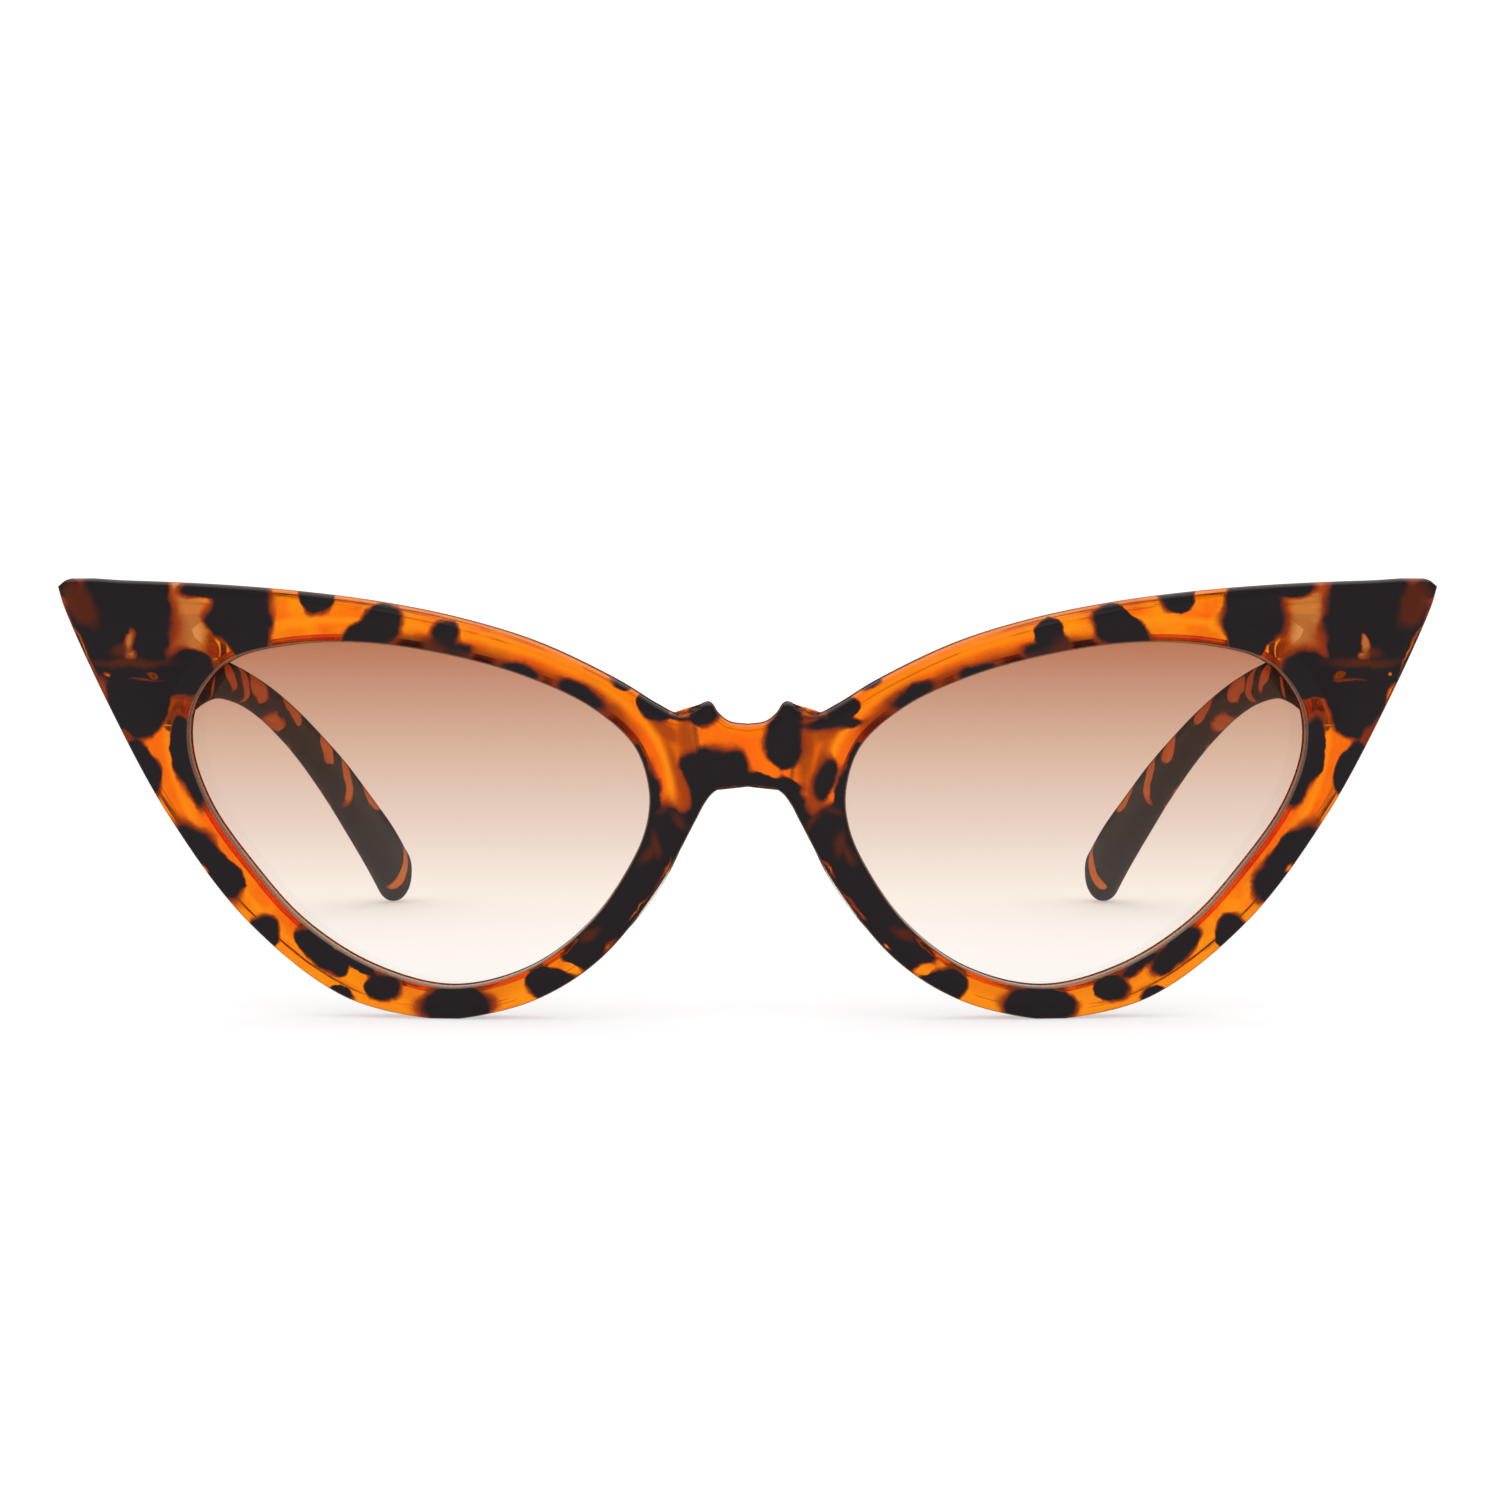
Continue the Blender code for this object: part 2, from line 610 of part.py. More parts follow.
def hang_on_hinge(pieces, side, word):
    """Parent the moving pieces to an empty on the hinge's axis."""
    axis = bpy.data.objects.new("hinge_axis_" + word, None)
    axis.location = (side * HINGE_X * MM, (FRONT_Y + HINGE_DEPTH) * MM, HINGE_Z * MM)
    bpy.context.scene.collection.objects.link(axis)
    bpy.context.view_layer.update()
    for piece in pieces:
        piece.parent = axis
        piece.matrix_parent_inverse = axis.matrix_world.inverted()


def build():
    """Build every piece of the sunglasses."""
    for obj in list(bpy.data.objects):
        bpy.data.objects.remove(obj)
    front_frame()
    for word, side in (("left", 1), ("right", -1)):
        lens("lens_" + word, side)
        nose_pad("nose_pad_" + word, side)
        front_leaf("hinge_front_leaf_" + word, side)
        hinge_screw("hinge_screw_" + word, side)
        moving = [temple("temple_" + word, side), temple_leaf("hinge_temple_leaf_" + word, side)]
        for number, away in enumerate(FRONT_RIVETS, 1):
            front_rivet("front_rivet_%s_%d" % (word, number), side, away)
        for number, away in enumerate(TEMPLE_RIVETS, 1):
            moving.append(temple_rivet("temple_rivet_%s_%d" % (word, number), side, away))
        hang_on_hinge(moving, side, word)


build()
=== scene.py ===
"""Looks of the cat eye sunglasses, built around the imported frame.

Sizes and places are in millimetres, in the frame's own axes, and meshes are made in
metres through MM.  Depths are measured back from the foremost point of the bridge.
"""
import math

import bmesh
import bpy
import numpy as np
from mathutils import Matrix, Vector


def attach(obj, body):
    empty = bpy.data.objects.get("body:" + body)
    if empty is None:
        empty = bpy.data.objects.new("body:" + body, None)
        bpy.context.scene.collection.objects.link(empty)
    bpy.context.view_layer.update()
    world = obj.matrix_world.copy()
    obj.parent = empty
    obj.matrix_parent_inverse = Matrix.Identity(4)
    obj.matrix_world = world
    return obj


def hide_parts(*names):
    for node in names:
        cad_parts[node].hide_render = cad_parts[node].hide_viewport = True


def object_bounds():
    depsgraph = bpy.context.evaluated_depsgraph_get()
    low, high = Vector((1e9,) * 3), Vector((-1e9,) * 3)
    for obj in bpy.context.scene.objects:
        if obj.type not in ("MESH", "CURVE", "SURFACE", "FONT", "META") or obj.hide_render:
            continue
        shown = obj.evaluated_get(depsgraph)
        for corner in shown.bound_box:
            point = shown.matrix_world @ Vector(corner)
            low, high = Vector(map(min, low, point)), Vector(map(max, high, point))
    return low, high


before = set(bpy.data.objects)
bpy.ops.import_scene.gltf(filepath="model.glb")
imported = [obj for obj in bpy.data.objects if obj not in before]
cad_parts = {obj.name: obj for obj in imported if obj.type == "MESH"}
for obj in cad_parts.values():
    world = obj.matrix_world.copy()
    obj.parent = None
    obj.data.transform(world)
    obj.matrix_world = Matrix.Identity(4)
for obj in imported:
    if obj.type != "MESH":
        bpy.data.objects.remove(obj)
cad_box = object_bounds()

MM = 0.001
FRONT_Y = cad_box[0][1] / MM
TOP_Z = cad_box[1][2] / MM
WRAP_RADIUS = 330.0

# Meshes: vertices closer than WELD are one, edges sharper than SHARP degrees stay sharp,
# and every THIN-th point of a dense line is enough to measure distances from it.
WELD = 0.002
SHARP = 35.0
SHARP_MOULDED = 50.0
BEVEL_SEGMENTS = 3
THIN = 4
CURVE_STEPS = 40
HOLE_SIDES = 24

# Section of the rim: thickness, rounded edges, bevel along the outline, and soft ridge.
RIM_THICK = 4.6
EDGE_ROUND = 0.42
LIP_ROUND = 0.30
BEVEL_WIDTH = 1.15
BEVEL_DROP = 0.34
RIDGE_DROP = 0.34
RIDGE_WIDTH = 1.25
RIDGE_FROM_LENS = 2.3
RIDGE_SHARE = 0.46
BACK_ROUND = 0.5
BACK_ROUND_WIDTH = 0.8

# Shallow crease down each side of the bridge.
CREASE = ((5.6, 31.6), (5.2, 29.0), (4.8, 27.0), (4.5, 25.0), (4.3, 23.0))
CREASE_DEEP = 0.16
CREASE_WIDE = 0.32

# Lens, and the groove that holds it.
LENS_FRONT = 2.1
LENS_THICK = 1.6
LENS_LAP = 0.6
LENS_POINTS = 200
LENS_RINGS = 14
LENS_HUB = 0.02
# Rounded edge of the lens: how far in and how far down three points of it lie.
LENS_ROUND = ((0.0, 0.12), (0.035, 0.035), (0.12, 0.0))
GAP = 0.3
GROOVE_FRONT = LENS_FRONT - GAP
GROOVE_BACK = LENS_FRONT + LENS_THICK + GAP
GROOVE_DEPTH = LENS_LAP + GAP

# Half of the front's outline as (x, z), from the swept tip over the brow to the middle.
TIP = (73.8, 45.55)
TOP_EDGE = (TIP, (72.6, 46.3), (66.0, 46.15), (56.0, 45.7), (47.4, 45.0), (38.9, 43.9),
            (30.4, 42.2), (21.9, 39.6), (13.5, 35.6), (9.4, 33.1), (7.2, 32.1),
            (5.3, 32.75), (4.6, 33.25), (4.1, 33.38), (3.65, 33.1), (3.1, 32.25), (1.9, 31.3),
            (0.0, 31.0))
# The same half from the middle of the bridge, under the rim and up to the swept tip.
LOW_EDGE = ((0.0, 24.5), (1.5, 24.5), (2.6, 24.38), (3.6, 23.85), (4.5, 22.7), (5.4, 21.0),
            (9.4, 13.8), (15.6, 6.25), (22.4, 2.0), (30.4, 0.0), (33.4, 0.0), (42.6, 2.2),
            (53.1, 10.1), (61.6, 21.1), (67.9, 32.3), (73.1, 43.3), TIP)
# The lens opening, from its nasal side over the top.
OPENING = ((10.3, 24.1), (11.8, 28.7), (16.2, 32.7), (22.7, 35.8), (30.7, 38.1),
           (40.2, 39.5), (49.0, 39.2), (55.0, 37.5), (58.6, 33.3), (59.2, 28.6),
           (57.2, 22.6), (52.4, 15.9), (46.9, 10.0), (39.4, 5.4), (31.0, 3.4),
           (22.8, 5.5), (16.5, 10.3), (12.2, 16.5), (10.6, 20.4))

# Where the rays of the rim's mesh start on the opening and end on the outline, and how
# many there are up to the next pair.
RAYS = (((57.9, 35.0), TIP, 16), ((57.1, 35.9), (72.2, 46.4), 40),
        ((47.0, 39.4), (47.4, 45.0), 40), ((22.7, 35.8), (21.9, 39.6), 30),
        ((14.2, 31.4), (7.2, 32.1), 24), ((12.9, 30.1), (4.1, 33.4), 22),
        ((11.8, 28.7), (0.0, 31.0), 26), ((10.3, 23.4), (0.0, 24.5), 24),
        ((10.7, 20.4), (5.4, 21.0), 34), ((16.5, 10.3), (15.6, 6.25), 26),
        ((29.9, 3.4), (30.4, 0.0), 6), ((32.6, 3.4), (33.4, 0.0), 40),
        ((52.4, 15.9), (53.1, 10.1), 36), ((59.1, 30.1), (69.8, 36.1), 16),
        ((58.3, 34.1), (73.2, 43.3), 12))
# Points of a ray: distances in from both of its ends, even spans between them, and the
# largest share of the ray that those distances may take.
EDGE_STEPS = (0.0, 0.02, 0.07, 0.15, 0.28, 0.42, 0.6, 0.8, 1.0, 1.15, 1.3, 1.6)
MIDDLE_SPANS = 26
BACK_STEPS = (0.0, 0.03, 0.12, 0.3, 0.55, 0.8)
BACK_SPANS = 6
STEPS_SHARE = 0.46

# End block behind each swept tip.
BLOCK_BACK = 12.6
BLOCK_FRONT = 9.0
BLOCK = ((56.0, 38.1), (56.0, 43.6), (69.8, 44.8), (65.2, 30.6), (61.3, 30.6), (60.3, 35.2))
BLOCK_BEVEL = 0.35

# Hinge: three knuckles on a vertical pin, with leaf coordinates taken from its axis.
HINGE_X = 61.7
HINGE_DEPTH = BLOCK_BACK + 1.35
HINGE_Z = 40.4
HINGE_TALL = 4.4
KNUCKLE_RADIUS = 1.15
KNUCKLE_TALL = 1.4
KNUCKLE_GAP = 0.1
KNUCKLE_CLEAR = 0.15
KNUCKLE_ROOM = 2.0
KNUCKLE_SIDES = 32
LEAF_THICK = 0.75
LEAF_BEVEL = 0.12
FRONT_LEAF_LONG = 5.1
TEMPLE_LEAF_LONG = 8.6
TEMPLE_LEAF_ROOM = 2.3
# Where the two faces of each leaf run into its knuckle.
FRONT_LEAF_ROOT = (-0.5, -1.3)
TEMPLE_LEAF_ROOT = (0.8, 1.9)
# Height of the moving leaf and length of the pin's hole, as shares of the hinge's height.
TEMPLE_LEAF_SHARE = 0.86
PIN_HOLE_SHARE = 1.3
PIN_RADIUS = 0.5
PIN_HOLE_RADIUS = 0.6
PIN_HEAD_RADIUS = 0.95
PIN_HEAD_TALL = 0.45
# Rounded top of the screw's head, as shares of its height and radius.
PIN_ROUND = (0.3, 0.2)
PIN_ROUND_POINTS = 6
TURNED_SIDES = 40
SLOT_WIDE = 0.28
SLOT_DEEP = 0.22
# Cosine and sine of how far the slot is turned.
SLOT_TURN = (0.8, 0.6)
FIT = 0.05
# How far cutters reach past what they cut.
PAST = 1.0

# Rivets: their distances from the hinge axis, their section, and how far up a quarter
# circle their domes reach.
FRONT_RIVETS = (-4.3, -2.3)
TEMPLE_RIVETS = (4.4, 7.2)
RIVET_RADIUS = 0.42
RIVET_HOLE_RADIUS = 0.5
RIVET_HEAD_RADIUS = 0.75
RIVET_HEAD_TALL = 0.35
RIVET_DOME = 0.92
RIVET_DOME_POINTS = 8
RIVET_BITE = 1.3

# Temple stations: depth, inner face x, middle z, half height, half thickness.
TEMPLE_STATIONS = ((12.9, 63.5, 37.2, 7.20, 1.70), (18.0, 63.5, 36.6, 6.90, 1.70),
                   (24.0, 63.5, 36.1, 6.10, 1.70), (30.0, 63.2, 35.9, 4.90, 1.65),
                   (37.0, 62.7, 35.8, 3.60, 1.60), (46.0, 62.0, 35.3, 2.50, 1.60),
                   (57.0, 61.1, 34.1, 2.10, 1.60), (68.0, 60.2, 32.2, 2.05, 1.65),
                   (80.0, 59.1, 29.3, 2.20, 1.75), (93.0, 57.6, 25.1, 2.50, 1.85),
                   (107.0, 55.9, 19.8, 3.10, 2.00), (120.0, 54.3, 14.2, 3.80, 2.15),
                   (131.0, 52.4, 8.85, 4.25, 2.55), (139.7, 51.3, 4.42, 4.40, 2.70))
TEMPLE_INNER = TEMPLE_STATIONS[0][1]
TEMPLE_RINGS = 150
# Rounded hinged end: shares of the way to the second ring, and of the full section.
TEMPLE_START = ((0.0, 0.93), (0.05, 0.965), (0.14, 0.985))
# The sections are upright at first and turn square to the temple's run over this stretch.
TEMPLE_TURN = (6.0, 36.0)
# Radius of the temple's long edges at three depths, and how oval they are at two.
TEMPLE_ROUNDING = ((22.0, 62.0, 139.0), (0.75, 2.0, 2.5))
TEMPLE_OVAL = ((105.0, 139.0), (1.0, 1.6))
TIP_RINGS = 20
TIP_LONG = 3.8
TIP_SHRINK = 0.12

# Nose pads: the stretch of the low edge that they line, their section, and how they swell
# between their thin ends.
PAD_TOP = (6.6, 18.8)
PAD_LOW = (14.4, 7.5)
PAD_STATIONS = 48
PAD_THICK = 1.9
PAD_DEEP = 5.4
PAD_INSET = -0.3
PAD_ENDS = (0.06, 0.94)
PAD_SWELL = 0.6
PAD_THIN_END = 0.45
PAD_ROUND = 0.6

# Dark spots of the front, the same on both sides: x, z, half length, half width, degrees.
SPOTS = (
    # the swept tip and the end of the front above the lens
    (67.2, 41.2, 5.9, 5.6, 0), (64.3, 44.2, 2.8, 3.4, 0), (72.4, 45.3, 1.1, 0.9, 0),
    (64.6, 34.6, 3.2, 4.8, 0), (58.9, 36.3, 2.6, 2.4, 0), (61.4, 35.2, 2.2, 1.3, 0),
    (53.6, 41.9, 3.4, 2.3, 0), (53.4, 44.2, 2.9, 1.7, 0), (51.9, 42.2, 1.4, 3.9, 0),
    (52.6, 39.8, 1.9, 1.8, 0), (57.6, 45.3, 2.4, 0.95, 0),
    # the brow, from the tip to the bridge
    (45.2, 44.5, 1.8, 1.75, 0), (38.0, 42.0, 1.9, 1.45, 0), (39.9, 40.8, 2.6, 1.3, -35),
    (39.5, 39.9, 2.4, 1.0, 0), (37.6, 40.7, 1.2, 1.0, 0), (31.6, 40.5, 1.4, 1.35, 0),
    (31.9, 39.3, 1.6, 1.1, 0), (30.2, 38.6, 1.5, 0.9, 0), (23.9, 36.6, 2.1, 0.8, 16),
    (17.2, 34.0, 2.9, 0.95, 29), (13.2, 35.2, 0.8, 0.32, 31), (9.9, 32.5, 1.75, 0.95, 38),
    (6.9, 31.75, 1.15, 0.16, 3),
    # the outer side of the rim, down to the resting place
    (59.9, 28.3, 3.4, 1.25, 84), (58.9, 25.6, 3.4, 1.0, 70), (64.3, 26.1, 2.8, 1.7, 61),
    (57.2, 16.4, 4.7, 1.9, 51), (55.0, 14.2, 1.6, 1.5, 50), (51.1, 9.0, 1.5, 1.75, 0),
    (45.0, 7.0, 3.1, 1.3, 42), (41.2, 5.7, 2.2, 0.5, 32), (38.2, 3.2, 1.75, 1.35, 0),
    (42.7, 2.6, 1.1, 0.6, 22), (30.7, 1.4, 3.7, 1.9, -3), (29.0, 1.7, 1.8, 1.6, 0),
    # the nasal side of the rim
    (21.0, 3.8, 1.9, 1.7, 0), (19.6, 4.0, 1.6, 0.9, 0), (16.2, 8.3, 3.4, 2.6, -42),
    (12.2, 13.4, 4.6, 2.9, -56), (9.6, 18.2, 4.3, 3.0, -64), (6.3, 20.5, 2.2, 1.0, -62),
    (9.9, 23.6, 2.6, 0.65, 88), (10.9, 26.9, 2.0, 0.5, 72),
)
# Dark spots of the bridge, which differ left and right of its middle.
BRIDGE_SPOTS = (
    (-5.9, 26.6, 1.05, 1.6, 0), (-3.6, 26.0, 2.6, 2.4, 0), (-4.6, 27.2, 1.0, 1.3, 0),
    (-1.5, 26.3, 1.6, 2.0, 0), (0.5, 24.8, 2.5, 1.1, -12), (3.2, 24.5, 2.2, 0.7, -5),
    (-4.5, 32.2, 1.4, 1.25, 0), (3.8, 29.2, 2.0, 2.6, 0), (4.3, 32.0, 1.2, 1.4, 0),
    (8.2, 31.0, 3.2, 0.55, 6), (8.0, 25.3, 2.2, 1.05, 72), (-5.2, 23.6, 2.8, 0.95, 100),
    (5.0, 23.2, 2.4, 0.75, -58),
)
# Amber patches inside those spots.
WINDOWS = (
    (65.7, 39.4, 1.5, 0.55, 100), (65.3, 38.2, 0.7, 0.5, 0), (63.5, 35.6, 1.6, 0.12, 0),
    (62.9, 36.2, 0.7, 0.35, 20), (68.3, 36.3, 0.35, 0.3, 0), (57.5, 15.6, 0.8, 0.35, 50),
    (18.6, 5.5, 1.5, 0.75, 20), (19.2, 7.5, 2.3, 0.4, -38), (8.5, 15.95, 1.6, 0.2, -60),
    (11.55, 11.6, 2.3, 0.2, -50), (14.6, 7.8, 0.8, 0.22, -47), (70.75, 38.8, 5.2, 0.2, 64.5),
)
# Faint red-brown patches by the swept tip and on the nasal side, and painted shade along the lens
# side of the brow.
HAZES_AND_SHADE = (
    (71.0, 43.6, 2.6, 1.4, 62), (65.5, 37.4, 3.4, 0.4, 0), (66.6, 38.6, 0.9, 0.5, 0),
    (9.6, 18.5, 1.2, 0.5, 75), (10.5, 17.6, 1.1, 0.4, 120), (7.0, 21.0, 0.9, 0.3, 50),
    (16.4, 9.0, 1.1, 0.5, -30), (8.9, 22.0, 0.6, 0.25, -20), (35.0, 39.4, 2.2, 0.7, -8),
    (28.0, 37.6, 2.4, 0.5, 20), (33.5, 39.0, 2.0, 0.6, 10),
)
# Painted shade within the amber: brown by the crease, and along the lens side of the brow.
SHADES = (
    (6.3, 28.6, 2.6, 0.5, 84), (7.3, 25.3, 2.4, 0.3, 72), (8.6, 30.2, 1.2, 0.5, 30),
    (33.2, 39.1, 4.2, 0.6, 8), (26.6, 37.4, 4.4, 0.75, 18), (20.0, 35.0, 4.0, 0.8, 27),
    (14.6, 32.6, 2.4, 0.65, 42),
)
# Milky golden patches in front of the end blocks.
MILKY = ((60.4, 43.0, 3.3, 3.2, 0), (60.0, 40.0, 2.4, 2.6, 0), (65.7, 39.2, 1.9, 1.1, 100))
# Amber blobs in the dark temples: x, depth, z, their three radii, and slope in degrees.
TEMPLE_WINDOWS = (
    (66.0, 18.5, 41.0, 2.0, 3.4, 1.6, 35), (64.5, 24.5, 32.6, 2.4, 3.4, 1.6, -20),
    (65.5, 31.0, 38.0, 2.2, 4.6, 1.3, -24), (63.5, 39.0, 34.6, 1.8, 3.0, 0.8, 60),
    (62.5, 47.2, 35.4, 2.0, 4.2, 1.2, -27), (61.8, 54.0, 34.7, 1.9, 3.8, 1.3, -50),
    (61.0, 60.8, 33.8, 1.7, 5.2, 1.7, -12), (61.2, 72.5, 29.4, 1.6, 6.0, 1.0, -15),
    (59.9, 78.0, 30.8, 1.8, 6.0, 1.8, -22), (58.4, 95.5, 24.6, 2.0, 5.0, 2.1, -24),
    (61.5, 88.0, 27.0, 1.4, 5.0, 1.5, 20), (57.0, 105.5, 20.4, 1.9, 5.2, 2.0, -52),
    (60.0, 104.0, 19.0, 1.2, 3.6, 1.2, -20), (55.3, 119.8, 17.2, 2.2, 6.8, 2.2, -22),
    (58.5, 124.0, 10.5, 1.5, 4.5, 1.6, 15), (52.6, 136.0, 6.2, 2.2, 6.4, 1.9, 56),
    # on the outer faces only
    (67.0, 15.6, 34.2, 1.2, 2.6, 1.5, 50), (67.0, 22.6, 38.6, 1.2, 4.6, 1.3, -12),
    (66.8, 28.4, 34.6, 1.3, 3.4, 1.7, 35), (65.8, 38.6, 36.8, 1.3, 4.2, 1.0, -30),
    (65.0, 49.4, 34.6, 1.3, 3.4, 1.2, 25), (63.9, 65.0, 32.4, 1.3, 5.4, 1.1, -28),
    (62.9, 76.4, 29.4, 1.3, 3.2, 1.6, 40), (61.2, 96.8, 24.6, 1.4, 5.8, 1.4, -40),
    (59.6, 111.2, 17.4, 1.4, 5.2, 1.9, 5), (57.8, 127.6, 12.4, 1.5, 5.6, 1.8, -48),
    (57.0, 136.4, 4.6, 1.4, 3.2, 1.8, 10),
)

# Outlines of the spots: how far around them distance is known, how softly neighbours run
# together, how much they are grown, and how wide their soft edges are.
REACH = 1.5
BLEND = 0.5
SPOT_GROWTH = 0.12
SOFT_EDGE = (0.104, 0.442)
SHADE_BLUR = 0.55
# Noise that moves the outlines: its scale, and how far it moves them.
WANDERS = ((0.35, 0.55), (1.7, 0.14))
# Noise as its scale, its detail, and the span of it that counts.
SOFT_NOISE = (0.22, 2.0, (0.4, 0.62))
AMBER_NOISE = (0.3, 3.0, (0.42, 0.66))
LENS_SHADE_NOISE = (0.11, 2.0, (0.4, 0.6))
BEVEL_REFLECTION_NOISE = (0.15, 2.0, (0.45, 0.55))
POLISH_NOISE = (2.2, 3.0, (0.3, 0.7))
PAD_NOISE = (1.5, 3.0, (0.3, 0.7))
RIPPLE_SCALE = 0.16
BRUSH_SCALE = 1.6
BRUSH_STRETCH = (1.0, 1.0, 14.0)
FACET_SCALE = 0.36
# The spots of the front shrink over these depths, and its milky patches end at these.
SHRINK_DEPTHS = (2.2, 3.0)
BACK_SHRINK = 1.3
MILKY_DEPTHS = (4.4, 3.4)

# Where the front's amber changes: heights and distances from the middle, the first two
# for the painted shade by the lens on the brow.
BROW_SHADE_HEIGHTS = (26.0, 34.0)
BROW_SHADE_END = (44.0, 36.0)
LOW_HEIGHTS = (10.0, 3.0)
OUTER_DEEP = ((50.0, 57.0), (38.0, 32.0))
INNER_DEEP = ((32.0, 22.0), (12.0, 20.0))
# Distances over which it changes: painted shade from the lens, painted highlights from the
# ridge and the outline, a painted dark reflection on the bevel's line, and painted shade along
# the crease.
LENS_SHADE_REACH = (2.1, 0.5)
RIDGE_HIGHLIGHT_REACH = (0.6, 0.0)
BEVEL_HIGHLIGHT_REACH = (1.5, 0.7)
BEVEL_REFLECTION_LINE = (0.12, 0.03)
CREASE_SHADE_LINE = (0.42, 0.05)
# Painted lines along the rim's edges: shade along the outline and round the lens, a reflection
# on the lens's lip and a shadow on the groove's wall; distance from the edge, and depths where
# they show.
OUTLINE_SHADE = ((0.16, 0.08), (1.1, 0.8))
LENS_SHADE_LINE = (0.20, 0.12)
LENS_LIP_REFLECTION = (0.10, 0.06)
LENS_WALL_SHADOW = (0.06, 0.02)
LENS_WALL_SHADOW_DEPTHS = ((0.35, 0.5), (2.6, 2.3))

AMBER = (1.0, 0.265, 0.0006)
AMBER_DEEP = (0.93, 0.12, 0.0006)
# Pale amber: the front's paler bottom, and the painted highlights on its ridge and bevel.
AMBER_PALE_AND_HIGHLIGHT = (1.0, 0.28, 0.003)
AMBER_LENS_SHADE = (0.34, 0.045, 0.003)
AMBER_TEMPLE = (0.95, 0.22, 0.03)
GOLD = (0.50, 0.165, 0.035)
GOLD_LIGHT = (0.70, 0.29, 0.085)
GOLD_DARK = (0.28, 0.085, 0.02)
LIP_REFLECTION_GREY = (0.27, 0.18, 0.14)
RIM_SHADE_BROWN = (0.17, 0.075, 0.04)
RED_BROWN = (0.30, 0.035, 0.004)
SHADE_BROWN = (0.22, 0.028, 0.002)
HAZE_AND_SHADE_BROWN = (0.10, 0.018, 0.006)
SPOT_AND_SHADE_BLACK = (0.0165, 0.0132, 0.0142)
TEMPLE_BLACK = (0.0215, 0.0138, 0.0118)
PAD_CLEAR = (0.95, 0.92, 0.86)
STEEL_DARK = (0.46, 0.44, 0.41)
STEEL_LIGHT = (0.70, 0.68, 0.65)
BLACK = (0.0, 0.0, 0.0)
WHITE = (1.0, 1.0, 1.0)

# Tint of the lens: share of the way up between two heights, and colour.
LENS_HEIGHTS = (3.0, 40.0)
LENS_TINTS = (
    (0.0, (0.98, 0.945, 0.91)), (0.25, (0.905, 0.81, 0.73)), (0.46, (0.755, 0.60, 0.515)),
    (0.68, (0.65, 0.43, 0.318)), (1.0, (0.455, 0.165, 0.085)),
)

# Floor: half its size in metres, its colour, and its glow as seen and as mirrored in gloss.
FLOOR_HALF = 60.0
PAPER = (0.5, 0.5, 0.5)
PAPER_GLOW = 0.5
PAPER_GLOSS = 0.12
# World: strength as seen and as it lights, and the panel and overhead light that gloss
# mirrors, with the directions over which they fade in.
BACKDROP = 1.1
ROOM = 1.2
PANEL = 0.10
PANEL_OFF = 0.02
PANEL_WIDE = (0.66, 0.44)
PANEL_TALL = (0.46, 0.26)
PANEL_BEHIND = (-0.2, -0.5)
OVERHEAD = 1.3
OVERHEAD_FROM = (0.6, 0.85)
# Softbox: power, size and place in metres.
SOFTBOX_POWER = 1.0
SOFTBOX_SIZE = (1.2, 0.8)
SOFTBOX_PLACE = (0.0, -0.1, 1.2)

# Camera: where it stands, how far it looks down, and its lens.
CAMERA_PLACE = (0.26, FRONT_Y - 300.0, 39.8)
CAMERA_PITCH = 2.18
CAMERA_LENS = 69.3
CAMERA_NEAR = 0.01


# ---- curves and meshes

def smooth_line(points, closed=False):
    """A dense curve through the points: a Catmull-Rom curve with centripetal knots."""
    points = np.array(points, float)
    if closed:
        padded = np.vstack([points[-1], points, points[0], points[1]])
    else:
        first = 2 * points[0] - points[1]
        last = 2 * points[-1] - points[-2]
        padded = np.vstack([first, points, last])
    line = []
    for p0, p1, p2, p3 in zip(padded, padded[1:], padded[2:], padded[3:]):
        t1 = np.linalg.norm(p1 - p0) ** 0.5
        t2 = t1 + np.linalg.norm(p2 - p1) ** 0.5
        t3 = t2 + np.linalg.norm(p3 - p2) ** 0.5
        for t in np.linspace(t1, t2, CURVE_STEPS, endpoint=False):
            a1 = p0 + (p1 - p0) * t / t1
            a2 = p1 + (p2 - p1) * (t - t1) / (t2 - t1)
            a3 = p2 + (p3 - p2) * (t - t2) / (t3 - t2)
            b1 = a1 + (a2 - a1) * t / t2
            b2 = a2 + (a3 - a2) * (t - t1) / (t3 - t1)
            line.append(b1 + (b2 - b1) * (t - t1) / (t2 - t1))
    line.append(points[0] if closed else points[-1])
    return np.array(line)


def lengths_along(line):
    """Distance of each point of a line from its start."""
    steps = np.linalg.norm(np.diff(line, axis=0), axis=1)
    return np.concatenate([[0.0], np.cumsum(steps)])


def place_on(line, point):
    """Distance along a line of the vertex nearest to a point."""
    nearest = np.argmin(np.linalg.norm(line - np.array(point), axis=1))
    return lengths_along(line)[nearest]


def point_at(line, distance):
    """The point of a line at a distance along it; an array of distances gives rows."""
    along = lengths_along(line)
    return np.stack([np.interp(distance, along, column) for column in line.T], axis=-1)


def distance_to(line, points):
    """Shortest distance from each point to a line of straight pieces."""
    start = line[:-1]
    step = line[1:] - start
    square = np.maximum((step ** 2).sum(axis=1), 1e-12)
    best = np.full(len(points), np.inf)
    for origin, run, size in zip(start, step, square):
        share = np.clip(((points - origin) @ run) / size, 0.0, 1.0)
        gap = np.linalg.norm(points - origin - share[:, None] * run, axis=1)
        best = np.minimum(best, gap)
    return best


def thinned(line):
    """Fewer points of a dense line, and every point of a short one."""
    step = THIN if len(line) > CURVE_STEPS else 1
    return np.array(line)[::step]


